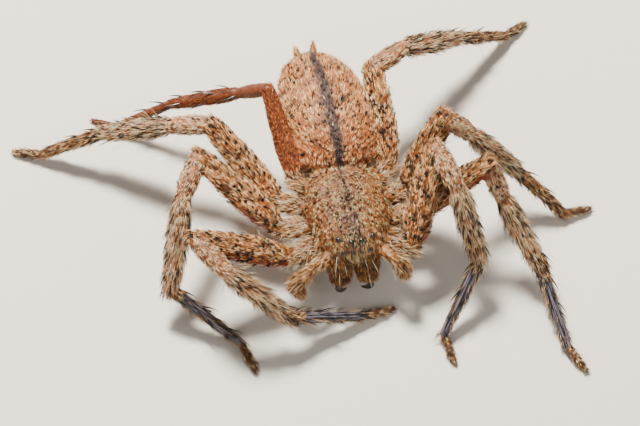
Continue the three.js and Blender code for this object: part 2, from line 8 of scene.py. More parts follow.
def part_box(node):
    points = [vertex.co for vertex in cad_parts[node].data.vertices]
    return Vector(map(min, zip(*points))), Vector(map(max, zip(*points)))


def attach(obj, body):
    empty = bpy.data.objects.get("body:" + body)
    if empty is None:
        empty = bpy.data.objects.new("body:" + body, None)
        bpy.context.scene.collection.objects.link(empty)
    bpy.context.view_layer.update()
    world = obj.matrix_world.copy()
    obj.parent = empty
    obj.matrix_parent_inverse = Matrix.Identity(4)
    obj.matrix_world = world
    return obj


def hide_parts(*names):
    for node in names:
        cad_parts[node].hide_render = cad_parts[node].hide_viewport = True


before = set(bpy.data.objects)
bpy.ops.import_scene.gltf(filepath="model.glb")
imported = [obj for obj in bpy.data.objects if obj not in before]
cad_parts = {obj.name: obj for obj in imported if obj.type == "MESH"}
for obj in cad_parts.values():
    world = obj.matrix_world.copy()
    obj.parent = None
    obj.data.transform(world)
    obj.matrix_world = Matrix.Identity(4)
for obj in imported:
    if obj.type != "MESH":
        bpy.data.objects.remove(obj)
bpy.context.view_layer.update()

# The view. A close-up from in front of the spider and high above it, with the picture
# turned a little, so that the head points down in the frame. The eyes and the back end
# of the prosoma give the animal's own zero point, from which all its measures run.
MM = 0.001
PICTURE_WIDTH, PICTURE_HEIGHT = 640, 426
PROSOMA_END = 4.5
AZIMUTH, ELEVATION, ROLL = math.radians(-14), math.radians(62), math.radians(5)
AIM = Vector((0, 0, 8.6)) * MM
AIM_PIXEL = Vector((349, 200))
PIXELS_PER_METRE = 9090
CAMERA_DISTANCE = 0.34

middle_eyes = [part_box(f"eye_front_middle_{side}") for side in "rl"]
ZERO = Vector((
    (middle_eyes[0][0].x + middle_eyes[1][1].x) / 2,
    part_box("prosoma")[1].y - PROSOMA_END * MM, 0))

scene = bpy.context.scene
back = Vector((math.sin(AZIMUTH) * math.cos(ELEVATION),
               -math.cos(AZIMUTH) * math.cos(ELEVATION), math.sin(ELEVATION)))
level = Vector((math.cos(AZIMUTH), math.sin(AZIMUTH), 0))
steep = back.cross(level)
picture_right = level * math.cos(ROLL) + steep * math.sin(ROLL)
picture_up = steep * math.cos(ROLL) - level * math.sin(ROLL)
off_aim = (Vector((PICTURE_WIDTH, PICTURE_HEIGHT)) / 2 - AIM_PIXEL) / PIXELS_PER_METRE
look_at = ZERO + AIM + picture_right * off_aim.x - picture_up * off_aim.y

camera_data = bpy.data.cameras.new("camera")
camera_data.sensor_width = 36
camera_data.lens = camera_data.sensor_width * CAMERA_DISTANCE * PIXELS_PER_METRE / PICTURE_WIDTH
camera_data.clip_start = 0.01
camera = bpy.data.objects.new("camera", camera_data)
turned = Matrix((picture_right, picture_up, back)).transposed()
camera.matrix_world = Matrix.Translation(look_at + back * CAMERA_DISTANCE) @ turned.to_4x4()
scene.collection.objects.link(camera)
scene.camera = camera


# The floor and the light. A plain pale floor under the feet, one large soft lamp behind
# the spider's back, which the knees throw their shadows from, and two weak fill lamps.
class Wire:
    """A socket of a node tree. Sums and products of wires add Math nodes."""

    def __init__(self, tree, socket=None):
        self.tree = tree
        self.socket = socket

    def node(self, kind, settings, sockets, output=0):
        """Adds a node: its settings first, then the values or wires of its sockets."""
        new = self.tree.nodes.new(kind)
        for name, value in settings.items():
            setattr(new, name, value)
        for name, value in sockets.items():
            if isinstance(value, Wire):
                self.tree.links.new(value.socket, new.inputs[name])
            else:
                new.inputs[name].default_value = value
        return Wire(self.tree, new.outputs[output])

    def math(self, operation, *values):
        sockets = {k: value for k, value in enumerate(values)}
        return self.node("ShaderNodeMath", {"operation": operation}, sockets)

    def __add__(self, other):
        return self.math("ADD", self, other)

    def __radd__(self, other):
        return self.math("ADD", other, self)

    def __sub__(self, other):
        return self.math("SUBTRACT", self, other)

    def __rsub__(self, other):
        return self.math("SUBTRACT", other, self)

    def __mul__(self, other):
        return self.math("MULTIPLY", self, other)

    def __rmul__(self, other):
        return self.math("MULTIPLY", other, self)

    def between(self, low, high):
        """0 below low, 1 above high, smooth in between."""
        return self.node("ShaderNodeMapRange", {"interpolation_type": "SMOOTHSTEP"},
                         {"Value": self, "From Min": low, "From Max": high})

    def mixed(self, first, second):
        """The first colour where the wire is 0, the second where it is 1."""
        return self.node("ShaderNodeMix", {"data_type": "RGBA"},
                         {"Factor": self, 6: first, 7: second}, 2)

    def scaled(self, factor):
        """A colour made lighter or darker by a wire of numbers."""
        return self.node("ShaderNodeVectorMath", {"operation": "SCALE"}, {0: self, "Scale": factor})


def linear(code):
    """A colour written as six hex digits, as linear light with full cover."""
    shares = [int(code[k:k + 2], 16) / 255 for k in (0, 2, 4)]
    light = [s / 12.92 if s <= 0.04045 else ((s + 0.055) / 1.055) ** 2.4 for s in shares]
    return (*light, 1.0)


def material(name, **constants):
    """A new material with its shader's constants set, and a first wire in its nodes."""
    made = bpy.data.materials.new(name)
    made.use_nodes = True
    shader = made.node_tree.nodes["Principled BSDF"]
    for socket, value in constants.items():
        shader.inputs[socket.replace("_", " ")].default_value = value
    return made, Wire(made.node_tree)


def wire_up(made, **wires):
    """Leads wires to the sockets of a material's shader."""
    shader = made.node_tree.nodes["Principled BSDF"]
    for socket, wire in wires.items():
        made.node_tree.links.new(wire.socket, shader.inputs[socket.replace("_", " ")])


FLOOR_HALF = 1.5
floor_mesh = bpy.data.meshes.new("floor")
floor_mesh.from_pydata(
    [(-FLOOR_HALF, -FLOOR_HALF, 0), (FLOOR_HALF, -FLOOR_HALF, 0),
     (FLOOR_HALF, FLOOR_HALF, 0), (-FLOOR_HALF, FLOOR_HALF, 0)], [], [(0, 1, 2, 3)])
floor = bpy.data.objects.new("floor", floor_mesh)
scene.collection.objects.link(floor)
floor_finish, _ = material("floor_finish", Base_Color=linear("cfc9bf"), Roughness=0.9)
floor_mesh.materials.append(floor_finish)

SKY, SKY_STRENGTH = (0.93, 0.94, 0.95, 1), 0.17
LAMPS = {
    "key": {"place": (-0.06, 0.24, 0.36), "size": 0.08, "power": 8.5, "tint": (1.0, 0.95, 0.87)},
    "fill": {"place": (0.30, -0.20, 0.30), "size": 0.30, "power": 0.7, "tint": (1.0, 0.98, 0.95)},
    "front": {"place": (-0.12, -0.34, 0.22), "size": 0.30, "power": 0.7, "tint": (1.0, 0.97, 0.93)},
}
for name, lamp in LAMPS.items():
    data = bpy.data.lights.new(name, "AREA")
    data.size = lamp["size"]
    data.energy = lamp["power"]
    data.color = lamp["tint"]
    light = bpy.data.objects.new(name, data)
    light.location = lamp["place"]
    light.rotation_euler = (-Vector(lamp["place"])).to_track_quat("-Z", "Y").to_euler()
    scene.collection.objects.link(light)
world = bpy.data.worlds.new("studio")
world.use_nodes = True
sky = world.node_tree.nodes["Background"]
sky.inputs["Color"].default_value = SKY
sky.inputs["Strength"].default_value = SKY_STRENGTH
scene.world = world

# The skin. One horny skin over legs, palps, prosoma, abdomen and spinnerets: a closed form
# for each stretch between two joints, all fused into one surface with smooth folds. Sizes
# are in millimetres from the animal's zero point, as the solids have them.
UP = np.array((0.0, 0.0, 1.0))
LEG_LENGTHS = {
    1: (11.8, 4.9, 9.6, 9.2, 3.2),
    2: (12.4, 5.0, 10.4, 9.8, 3.4),
    3: (11.0, 4.4, 8.4, 7.8, 3.0),
    4: (11.4, 4.4, 8.8, 8.2, 3.0),
}
LEGS = {
    "r1": {"hip": (-7.0, -4.6, 5.5), "turns": (173, -56, -30, 4, 12), "climbs": (25, -7, -36)},
    "r2": {"hip": (-7.6, -1.0, 5.5), "turns": (138, -118, -108, -41, -72), "climbs": (27, -7, -38)},
    "r3": {"hip": (-7.4, 2.4, 5.5), "turns": (127, 165, 163, 175, 160), "climbs": (24, -15, -26),
           "reach": 1.04},
    "r4": {"hip": (-5.0, 4.6, 5.4), "turns": (103, 149, 168, 173, 149), "climbs": (37, -42, -24),
           "reach": 0.97, "stout": 0.76},
    "l1": {"hip": (6.2, -5.3, 5.6), "turns": (65, -71, -69, -128, -78), "climbs": (44, -12, -51)},
    "l2": {"hip": (6.9, -1.0, 5.0), "turns": (7, -56, -61, -81, -61), "climbs": (43, -56, -37),
           "reach": 0.93},
    "l3": {"hip": (7.0, 2.2, 5.0), "turns": (39, -18, -22, -36, 8), "climbs": (60, -42, -47)},
    "l4": {"hip": (5.5, 5.0, 5.4), "turns": (91, 30, 22, 18, 32), "climbs": (23, -2, -29)},
}
COXA_ROOTS = {1: (2.9, -3.0, 5.3), 2: (3.3, -1.0, 5.2), 3: (3.2, 1.1, 5.2), 4: (2.4, 2.8, 5.4)}
ANKLE_HEIGHT = 0.9
TOE_HEIGHT = 0.36
PALPS = {
    "r": ((-2.3, -4.6, 5.8), (-5.5, -6.9, 6.3), (-7.3, -7.6, 4.9), (-6.4, -8.0, 2.9)),
    "l": ((2.3, -4.6, 5.8), (4.0, -6.5, 6.4), (4.9, -7.5, 5.7), (5.2, -7.9, 4.1)),
}
SPINNERETS = {
    "r": ((-2.0, 18.4, 6.9), (-2.55, 20.6, 7.3)),
    "l": ((-0.8, 18.6, 6.9), (-0.45, 20.9, 7.3)),
}
# Skin radius along each part, as places from 0 to 1 and radii, and how much wider than high
SHAPES = {
    "coxa": ((0, 0.5, 1), (1.0, 1.08, 0.9), 1.0),
    "femur": ((0, 0.06, 0.18, 0.38, 0.7, 0.92, 1), (0.72, 0.88, 1.12, 1.28, 1.12, 0.92, 0.8), 1.2),
    "patella": ((0, 0.2, 0.55, 0.85, 1), (0.8, 0.96, 1.0, 0.9, 0.76), 1.12),
    "tibia": ((0, 0.1, 0.35, 0.8, 0.94, 1), (0.74, 0.9, 1.0, 0.86, 0.78, 0.66), 1.12),
    "metatarsus": ((0, 0.08, 0.3, 0.9, 1), (0.60, 0.70, 0.68, 0.56, 0.46), 1.0),
    "tarsus": ((0, 0.2, 0.8, 1), (0.42, 0.42, 0.38, 0.3), 1.0),
    "palp_femur": ((0, 0.5, 1), (0.52, 0.68, 0.62), 1.0),
    "palp_tibia": ((0, 0.6, 1), (0.62, 0.74, 0.68), 1.0),
    "palp_tarsus": ((0, 0.45, 1), (0.66, 0.76, 0.4), 1.0),
    "spinneret": ((0, 0.5, 1), (0.5, 0.46, 0.3), 1.0),
}
LEG_PARTS = ("coxa", "femur", "patella", "tibia", "metatarsus", "tarsus")
PROSOMA = {
    "rim": 6.2,
    "y": (-6.0, -5.85, -5.5, -4.8, -3.8, -2.5, -1.1, 0.4, 1.9, 3.2, 4.3, 5.2, 5.6),
    "half": (0.5, 2.0, 2.65, 3.0, 3.4, 4.0, 4.5, 4.65, 4.5, 4.1, 3.7, 3.1, 1.6),
    "top": (6.7, 7.2, 7.75, 8.15, 8.35, 8.45, 8.45, 8.35, 8.15, 7.85, 7.4, 6.9, 6.5),
    "base": (6.4, 6.05, 5.6, 5.0, 4.6, 4.4, 4.3, 4.3, 4.4, 4.6, 4.9, 5.4, 5.9),
}
ABDOMEN = {
    "rim": 6.5,
    "y": (5.1, 5.4, 5.8, 6.3, 7.1, 8.4, 10.4, 12.8, 15.0, 17.0, 18.6, 19.4, 19.8),
    "half": (2.4, 3.6, 4.1, 4.35, 4.5, 4.6, 4.8, 4.9, 4.7, 4.1, 3.1, 1.9, 0.5),
    "top": (7.0, 7.4, 7.85, 8.4, 9.05, 9.5, 9.8, 9.95, 9.85, 9.5, 8.9, 8.2, 7.3),
    "base": (5.8, 5.3, 5.0, 4.75, 4.4, 3.9, 3.35, 3.15, 3.35, 3.85, 4.65, 5.5, 6.4),
}
PEDICEL = ((0, 3.6, 5.8), (0, 6.4, 6.0))
SKIN_VOXEL = 0.2
SKIN_SMOOTHING = 5


def unit(vectors):
    return vectors / np.linalg.norm(vectors, axis=-1, keepdims=True)


def abdomen_shift(y):
    """The abdomen bends a little to the spider's right."""
    return -0.05 * (y - 5) - 0.5 * np.maximum(0, (y - 12) / 8) ** 2


BODIES = ((PROSOMA, lambda y: 0.0), (ABDOMEN, abdomen_shift))


def direction(turn, climb):
    turn, climb = math.radians(turn), math.radians(climb)
    return np.array((math.cos(climb) * math.cos(turn), math.cos(climb) * math.sin(turn),
                     math.sin(climb)))


def leg_joints(name):
    """Joints of a leg from the coxa's root to the toe, the last two at their heights."""
    leg, pair = LEGS[name], int(name[1])
    root = np.array(COXA_ROOTS[pair])
    if name[0] == "r":
        root[0] *= -1
    joints = [root, np.array(leg["hip"])]
    for k, size in enumerate(LEG_LENGTHS[pair]):
        length = size * leg.get("reach", 1)
        if k < 3:
            climb = leg["climbs"][k]
        else:
            landing = ANKLE_HEIGHT if k == 3 else TOE_HEIGHT * leg.get("stout", 1)
            climb = math.degrees(math.asin((landing - joints[-1][2]) / length))
        joints.append(joints[-1] + direction(leg["turns"][k], climb) * length)
    return joints


def stretch(limb, part, start, end, before, stout=1.0):
    """One straight piece of a limb, and how far from the limb's root it starts."""
    places, radii, wide = SHAPES[part]
    stout = 1.0 if part == "coxa" else stout
    ahead = unit(end - start)
    across = unit(np.cross(ahead, UP))
    return {"limb": limb, "part": part, "start": start, "end": end, "before": before,
            "length": np.linalg.norm(end - start), "places": places,
            "radii": np.array(radii) * stout, "wide": wide, "ahead": ahead,
            "across": across, "upward": np.cross(across, ahead)}


def chain(limb, parts, joints, stout=1.0):
    """The stretches of one limb, in order."""
    made, before = [], 0.0
    for part, start, end in zip(parts, joints, joints[1:]):
        made.append(stretch(limb, part, start, end, before, stout))
        before += made[-1]["length"]
    return made


STRETCHES = []
for name, leg in LEGS.items():
    STRETCHES += chain(f"leg_{name}", LEG_PARTS, leg_joints(name), leg.get("stout", 1))
for side, joints in PALPS.items():
    STRETCHES += chain(f"palp_{side}", ("palp_femur", "palp_tibia", "palp_tarsus"),
                       [np.array(j) for j in joints])
for side, ends in SPINNERETS.items():
    STRETCHES += chain(f"spinneret_{side}", ("spinneret",), [np.array(e) for e in ends])


def ringed(rings, first_pole, last_pole):
    """Points and faces of rings joined into one closed form, faces outward."""
    count, sides = len(rings), len(rings[0])
    points = np.vstack([first_pole, np.concatenate(rings), last_pole])
    faces = []
    last = len(points) - 1
    for k in range(sides):
        after = (k + 1) % sides
        faces.append((0, 1 + after, 1 + k))
        faces.append((last, last - sides + k, last - sides + after))
        for r in range(count - 1):
            near = 1 + r * sides
            far = near + sides
            faces.append((near + k, near + after, far + after, far + k))
    return points, faces


def tube_along(way, radii, sides=20, wide=1.0):
    """A closed tube round a line of points, which starts and ends in a point."""
    way = np.array(way, float)
    aheads = unit(np.gradient(way, axis=0))
    turns = np.arange(sides) * 2 * math.pi / sides
    rings = []
    for middle, ahead, radius in list(zip(way, aheads, radii))[1:-1]:
        across = unit(np.cross(ahead, UP))
        upward = np.cross(across, ahead)
        rings.append(middle + radius * (np.outer(np.cos(turns) * wide, across)
                                        - np.outer(np.sin(turns), upward)))
    return ringed(rings, way[0], way[-1])


def limb_form(piece, sides=20, steps=14):
    """A stretch with round ends."""
    total = piece["length"]
    first, last = piece["radii"][0], piece["radii"][-1]
    bends = (1.2, 0.8, 0.4)
    stops = [(-first, 0)] + [(-first * math.sin(a), first * math.cos(a)) for a in bends]
    stops += [(t * total, np.interp(t, piece["places"], piece["radii"]))
              for t in np.linspace(0, 1, steps)]
    stops += [(total + last * math.sin(a), last * math.cos(a)) for a in bends[::-1]]
    stops.append((total + last, 0))
    way = [piece["start"] + piece["ahead"] * along for along, _ in stops]
    return tube_along(way, [radius for _, radius in stops], sides, piece["wide"])


def body_form(body, shift, sides=48, steps=70):
    """The prosoma or the abdomen, egg-shaped across above and below its rim."""
    low, high = body["y"][0], body["y"][-1]
    ease = (1 - np.cos(np.linspace(0, math.pi, steps))) / 2
    turns = np.arange(sides) * 2 * math.pi / sides
    rings = []
    for y in low + (high - low) * ease:
        half, top, base = (np.interp(y, body["y"], body[key]) for key in ("half", "top", "base"))
        rim = min(max(body["rim"], base + 0.1), top - 0.1)
        rise = -np.sin(turns)
        height = np.where(rise > 0, rise * (top - rim), rise * (rim - base))
        rings.append(np.stack(
            [shift(y) + half * np.cos(turns), np.full(sides, y), rim + height], 1))
    ends = [rings[k].mean(0) for k in (0, -1)]
    return ringed(rings, *ends)


def mesh_object(name, points, faces):
    """A mesh of points in millimetres, placed in the frame, as an object of its own."""
    made = bpy.data.meshes.new(name)
    made.from_pydata(np.asarray(points) * MM + np.array(ZERO), [], faces)
    thing = bpy.data.objects.new(name, made)
    scene.collection.objects.link(thing)
    return thing


def smoothed(thing):
    data = thing.data
    data.polygons.foreach_set("use_smooth", np.ones(len(data.polygons), bool))
    return thing


def joined(name, parts):
    """One object of several closed forms."""
    points, faces, offset = [], [], 0
    for part_points, part_faces in parts:
        points.append(part_points)
        faces += [tuple(v + offset for v in face) for face in part_faces]
        offset += len(part_points)
    return smoothed(mesh_object(name, np.concatenate(points), faces))


def settled(thing):
    """The object with its modifiers worked into its mesh."""
    graph = bpy.context.evaluated_depsgraph_get()
    made = bpy.data.meshes.new_from_object(thing.evaluated_get(graph))
    made.name = thing.name
    thing.modifiers.clear()
    thing.data = made
    return thing


def of_points(data, kind):
    """The places or the normals of a mesh's points, as Blender has them."""
    values = np.zeros(len(data.vertices) * 3, np.float32)
    data.vertices.foreach_get(kind, values)
    return values.reshape(-1, 3).astype(float)


def coordinates(data):
    return (of_points(data, "co") - np.array(ZERO)) / MM


def set_coordinates(data, points):
    values = (points * MM + np.array(ZERO)).astype(np.float32)
    data.vertices.foreach_set("co", values.ravel())
    data.update()


forms = [limb_form(piece) for piece in STRETCHES]
forms += [body_form(body, shift) for body, shift in BODIES]
forms += [limb_form(piece) for piece in chain("abdomen", ("coxa",), np.array(PEDICEL))]
skin = joined("skin", forms)
fuse = skin.modifiers.new("fuse", "REMESH")
fuse.mode = "VOXEL"
fuse.voxel_size = SKIN_VOXEL * MM
soften = skin.modifiers.new("soften", "SMOOTH")
soften.factor = 0.5
soften.iterations = SKIN_SMOOTHING
settled(skin)


def nearest_stretch(points):
    """For each point: its stretch's number (or -1 on the prosoma, -2 on the abdomen), the
    place along it from 0 to 1, the turn round it and the distance from the limb's root."""
    best = np.full(len(points), 1e9)
    number = np.zeros(len(points), int)
    place, turn, along = (np.zeros(len(points)) for _ in range(3))

    def take(closer, new_number, new_place, new_turn, new_along, distance):
        best[closer] = distance[closer]
        number[closer] = new_number
        place[closer] = new_place[closer]
        turn[closer] = new_turn[closer]
        along[closer] = new_along[closer]

    for k, piece in enumerate(STRETCHES):
        apart = points - piece["start"]
        reach = apart @ piece["ahead"]
        share = np.clip(reach / piece["length"], 0, 1)
        side, rise = apart @ piece["across"], apart @ piece["upward"]
        radius = np.interp(share, piece["places"], piece["radii"])
        beyond = reach - share * piece["length"]
        distance = np.sqrt((side / piece["wide"]) ** 2 + rise ** 2 + beyond ** 2) - radius
        take(distance < best, k, share, np.arctan2(rise, side), reach + piece["before"], distance)
    for k, (body, shift) in enumerate(BODIES):
        low, high = body["y"][0], body["y"][-1]
        y = np.clip(points[:, 1], low, high)
        half, top, base = (np.interp(y, body["y"], body[key]) for key in ("half", "top", "base"))
        side = points[:, 0] - shift(y)
        rise = points[:, 2] - np.clip(body["rim"], base + 0.1, top - 0.1)
        tall = np.where(rise > 0, top - body["rim"], body["rim"] - base).clip(0.1)
        share = np.sqrt((side / half) ** 2 + (rise / tall) ** 2)
        distance = (share - 1) * np.minimum(half, tall) + np.abs(points[:, 1] - y)
        take(distance < best, -1 - k, (y - low) / (high - low), np.arctan2(rise, side), y, distance)
    return number, place, turn, along


# Furrow in the middle of the carapace, its rays in degrees from the front, and the muscle
# pits of the abdomen, each as a place on the back and a size
FURROW = {"from": -1.1, "to": 1.2, "wide": 0.13, "deep": 0.3}
RAYS, RAY_START, RAY_END = (35, 75, 115, 150), 0.6, 4.2
RAY_WIDE, RAY_DEEP = 0.22, 0.1
PITS = ((-1.36, 11.65, 0.28), (1.4, 12.0, 0.28), (-1.16, 9.3, 0.27), (0.85, 9.2, 0.27))
PIT_DEEP = 0.22
SKIN_FLOOR = 0.02


def bump_of(distance, wide):
    return np.exp(-(distance / wide) ** 2)


def near_furrow(x, y, share=1.0):
    past = np.maximum(0, np.maximum(FURROW["from"] - y, y - FURROW["to"]))
    return bump_of(np.hypot(x, past), FURROW["wide"] * share)


def near_pits(x, y):
    return sum(bump_of(np.hypot(x - pit_x, y - pit_y), size) for pit_x, pit_y, size in PITS)


unpressed = coordinates(skin.data)
skin_number, _, _, _ = nearest_stretch(unpressed)
x, y, z = unpressed.T
pressed = FURROW["deep"] * near_furrow(x, y)
for ray in RAYS:
    angle = math.radians(ray)
    outward = np.abs(x) * math.sin(angle) - y * math.cos(angle)
    off_ray = np.abs(x) * math.cos(angle) + y * math.sin(angle)
    strength = np.clip(outward - RAY_START, 0, 1) * np.clip(RAY_END - outward, 0, 1)
    pressed += RAY_DEEP * strength * bump_of(off_ray, RAY_WIDE)
pressed *= (skin_number == -1) & (z > PROSOMA["rim"])
pressed += PIT_DEEP * near_pits(x, y) * ((skin_number == -2) & (z > ABDOMEN["rim"]))
pressed_in = unpressed - of_points(skin.data, "normal") * pressed[:, None]
pressed_in[:, 2] = np.maximum(pressed_in[:, 2], SKIN_FLOOR)
set_coordinates(skin.data, pressed_in)
smoothed(skin)

# The markings, on skin and coat alike. Tan to rosy ground with darker mottling, a mauve
# band down the back, ochre corners on the abdomen, fiery fronts of the femora, one rusty
# leg and grey strips on the bare metatarsi. The colours are listed.
TONES = {name: np.array(linear(code)[:3]) for name, code in {
    "cream": "f8d39c", "straw": "e2a25a", "tan": "b0682e", "rose": "d27f4b", "ochre": "ad5c14",
    "rust": "7a360a", "fire": "a83a08", "umber": "4d2910", "brown": "2b160a", "black": "090706",
    "mauve": "3a2a2a", "lilac": "b88a78", "plum": "22161b", "grey": "837c88", "white": "f0e0c0",
    "blush": "f0bd94",
}.items()}
RUSTY_LEG, RUST_START, RUST_GLOSS = "leg_r4", 4.2, 0.6
DARK_LINES, LINE_WIDE, MIDDLE_LINE_WIDE = (-0.75, -0.25, 0.25, 0.75), 0.12, 0.16
BARE_FEET = ("leg_r1", "leg_r2", "leg_l1", "leg_l2")
FIRE_FACING = unit(np.array((0, -0.8, -0.6)))
# Where each marking, and the painted shade between prosoma and abdomen, starts to show and where it
# shows in full: along the body, off its middle line, as a share of a limb's part, and as how far
# the skin faces up or backward
EDGES = {
    "lines_rear": (-0.8, -2.0), "lines_front": (-5.8, -5.0), "middle_line": (-1.4, -1.0),
    "carapace_up": (0.2, 0.6), "lilac_wide": (0, -3), "lilac_weak": (0.5, 3),
    "heart_widens": (5, 8), "heart_narrows": (13, 18), "abdomen_up": (0.3, 0.7),
    # Painted shade: the faces where abdomen and carapace meet are darkened.
    "waist_shade_facing": (-0.75, -0.97), "waist_shade_front": (6.2, 5.5), "waist_shade_behind": (0.6, 0.9),
    "corners_along": (9.9, 6.7), "corners_off": (0.5, 1.5), "flank_off": (1.2, 2.6),
    "side_facing": (0.55, -0.1), "fire_facing": (0.25, 0.75),
    "blotches_start": (0.02, 0.1), "blotches_end": (0.9, 0.6),
}
LIMB_NAMES = np.array([piece["limb"] for piece in STRETCHES] + ["abdomen", "prosoma"])
PART_NAMES = np.array([piece["part"] for piece in STRETCHES] + ["abdomen", "prosoma"])


def cell_draw(cells, seed):
    """A steady draw from 0 to 1 for each whole-numbered cell of space."""
    mixed = cells @ np.array((127.1, 311.7, 74.7)) + seed * 53.3
    return np.modf(np.abs(np.sin(mixed) * 43758.5453))[0]


def speckles(points, spacing, size, seed):
    """1 inside round spots of about that size scattered at that spacing, 0 outside."""
    cells = np.floor(points / spacing)
    nearest = np.full(len(points), 1e9)
    for shift in np.ndindex(3, 3, 3):
        cell = cells + np.array(shift) - 1
        jitter = np.stack([cell_draw(cell, seed + k) for k in range(3)], 1)
        distance = np.linalg.norm((cell + 0.15 + 0.7 * jitter) * spacing - points, axis=1)
        distance /= 0.6 + 0.8 * cell_draw(cell, seed + 3)
        nearest = np.minimum(nearest, distance)
    return np.clip((size - nearest) / (0.35 * size) + 0.5, 0, 1)


def waves(points, size, seed):
    """A smooth field between -1 and 1 that changes over about that size."""
    total = np.zeros(len(points))
    draws = np.random.default_rng(seed)
    for _ in range(5):
        push = unit(draws.normal(size=3)) * 2 * math.pi / (size * draws.uniform(0.7, 1.6))
        total += np.sin(points @ push + draws.uniform(0, 2 * math.pi))
    return np.clip(total / 2.6, -1, 1)


def ramp(values, start, full):
    """0 up to the start, 1 from full on, smooth in between, whichever is larger."""
    share = np.clip((values - start) / (full - start), 0, 1)
    return share * share * (3 - 2 * share)


def painted(colours, *layers):
    """The colours with tones laid over them one by one, each where its mask says."""
    for tone, mask in layers:
        share = np.asarray(mask, float)[:, None]
        colours = colours * (1 - share) + TONES[tone] * share
    return colours


def survey(points, normals):
    """Where each point is, how strongly each marking shows there, and how much painted shade lies
    where abdomen and carapace meet.
    """
    number, place, turn, along = nearest_stretch(points)
    limb, part = LIMB_NAMES[number], PART_NAMES[number]
    x, y, _ = points.T
    _, backward, upward = normals.T
    head, tail = part == "prosoma", part == "abdomen"
    off_middle = x - np.where(tail, abdomen_shift(y), 0)

    def edge(name, values):
        return ramp(values, *EDGES[name])

    rusty = (limb == RUSTY_LEG) & (along > RUST_START)
    femur = (part == "femur") & ~rusty
    first_pairs = np.char.endswith(limb, "1") | np.char.endswith(limb, "2")
    lines = sum(bump_of(x - line * (1 + 0.08 * y), LINE_WIDE) for line in DARK_LINES)
    lines = lines * (edge("lines_rear", y) * edge("lines_front", y))
    lines = lines + bump_of(x, MIDDLE_LINE_WIDE) * edge("middle_line", y)
    on_top = edge("carapace_up", upward) * head
    lilac = bump_of(x, 0.75 + 0.35 * edge("lilac_wide", y)) * (1 - 0.6 * edge("lilac_weak", y))
    heart_wide = 0.25 + 0.35 * edge("heart_widens", y) - 0.2 * edge("heart_narrows", y)
    heart = np.minimum(1.7 * bump_of(off_middle, heart_wide), 1) * tail
    # Painted shade: the abdomen's face toward the carapace and the carapace's face toward the
    # abdomen are darkened.
    waist_shade = tail * edge("waist_shade_facing", backward) * edge("waist_shade_front", y)
    corners = tail * edge("corners_along", y) * edge("corners_off", np.abs(off_middle))
    fire = np.where(first_pairs, 1.0, 0.35) * edge("fire_facing", normals @ FIRE_FACING)
    blotches = edge("blotches_start", place) * edge("blotches_end", place)
    return {
        "number": number, "limb": limb, "part": part, "turn": turn, "along": along,
        "rusty": rusty, "bare": 1.0 * (np.isin(limb, BARE_FEET) & (part == "metatarsus")
                                       & (place > 0.12)),
        "band": on_top * np.clip(lines, 0, 1), "lilac": on_top * lilac,
        "heart": heart * edge("abdomen_up", upward), "corners": corners,
        "waist_shade": waist_shade + head * edge("waist_shade_behind", backward),
        "flank": head * edge("flank_off", np.abs(x)), "side": edge("side_facing", upward),
        "fire": femur * fire, "blotches": femur * speckles(points, 0.85, 0.2, 5) * blotches,
        "mottle": waves(points, 1.6, 3),
    }


def ground(found):
    """The skin's own colour, with painted shade where abdomen and carapace meet."""
    part, mottle, corners = (found[key] for key in ("part", "mottle", "corners"))
    foot = np.isin(part, ("metatarsus", "tarsus")) & ~found["rusty"]
    return np.clip(painted(
        np.tile(TONES["tan"], (len(part), 1)),
        ("umber", (part == "prosoma") * 0.45),
        ("rose", (part == "abdomen") * 0.9),
        ("umber", (part == "abdomen") * 0.35),
        ("ochre", np.isin(part, ("femur", "tibia", "patella")) * 0.55),
        ("umber", ramp(mottle, 0.1, 0.9) * 0.35),
        ("ochre", corners * 0.65),
        ("rust", corners * ramp(mottle, 0.0, 0.8) * 0.6),
        ("fire", found["fire"]),
        ("brown", found["blotches"] * 0.85),
        ("rust", found["rusty"]),
        # Painted shade: brown on the faces where abdomen and carapace meet.
        ("brown", found["waist_shade"] * 0.85),
        ("mauve", found["lilac"] * 0.4),
        ("plum", found["band"] * 0.9),
        ("mauve", found["heart"] * 0.85),
        ("umber", foot * 0.55),
        ("grey", found["bare"] * 0.9)), 0, 1)


def hollows(points, part):
    """How dark the furrow of the carapace and the pits of the abdomen are."""
    x, y, _ = points.T
    dark = (part == "prosoma") * near_furrow(x, y, 0.9) + (part == "abdomen") * near_pits(x, y)
    return np.clip(dark, 0, 1)


def give_attribute(data, name, kind, values):
    key = {"FLOAT_COLOR": "color", "FLOAT_VECTOR": "vector", "FLOAT": "value"}[kind]
    data.attributes.new(name, kind, "POINT").data.foreach_set(
        key, np.asarray(values, np.float32).ravel())


def give_paint(data, colours):
    """The colours of a mesh's points, each with full cover, as the attribute paint."""
    colours = colours.reshape(-1, 3)
    give_attribute(data, "paint", "FLOAT_COLOR", np.hstack([colours, np.ones((len(colours), 1))]))


def grain_of(w, scale, detail=2.0):
    """Noise of so many waves to the metre through the piece."""
    place = w.node("ShaderNodeTexCoord", {}, {}, "Object")
    return w.node("ShaderNodeTexNoise", {}, {"Vector": place, "Scale": scale, "Detail": detail})


def attribute(w, name, output):
    return w.node("ShaderNodeAttribute", {"attribute_name": name}, {}, output)


BODY_RADIUS, LIMB_RADIUS = 4.0, 0.8
STREAK_SCALE, STRETCH_APART = (0.22, 5.0, 1.0), 3.0

skin_points = coordinates(skin.data)
skin_normals = of_points(skin.data, "normal")
skin_found = survey(skin_points, skin_normals)
give_paint(skin.data, painted(ground(skin_found),
                              ("black", hollows(skin_points, skin_found["part"]))))
radius_there = np.where(skin_found["number"] < 0, BODY_RADIUS, LIMB_RADIUS)
give_attribute(skin.data, "limb", "FLOAT_VECTOR", np.stack(
    [skin_found["along"], skin_found["turn"] * radius_there,
     skin_found["number"] * STRETCH_APART], 1))
give_attribute(skin.data, "bare", "FLOAT", skin_found["bare"] + RUST_GLOSS * skin_found["rusty"])

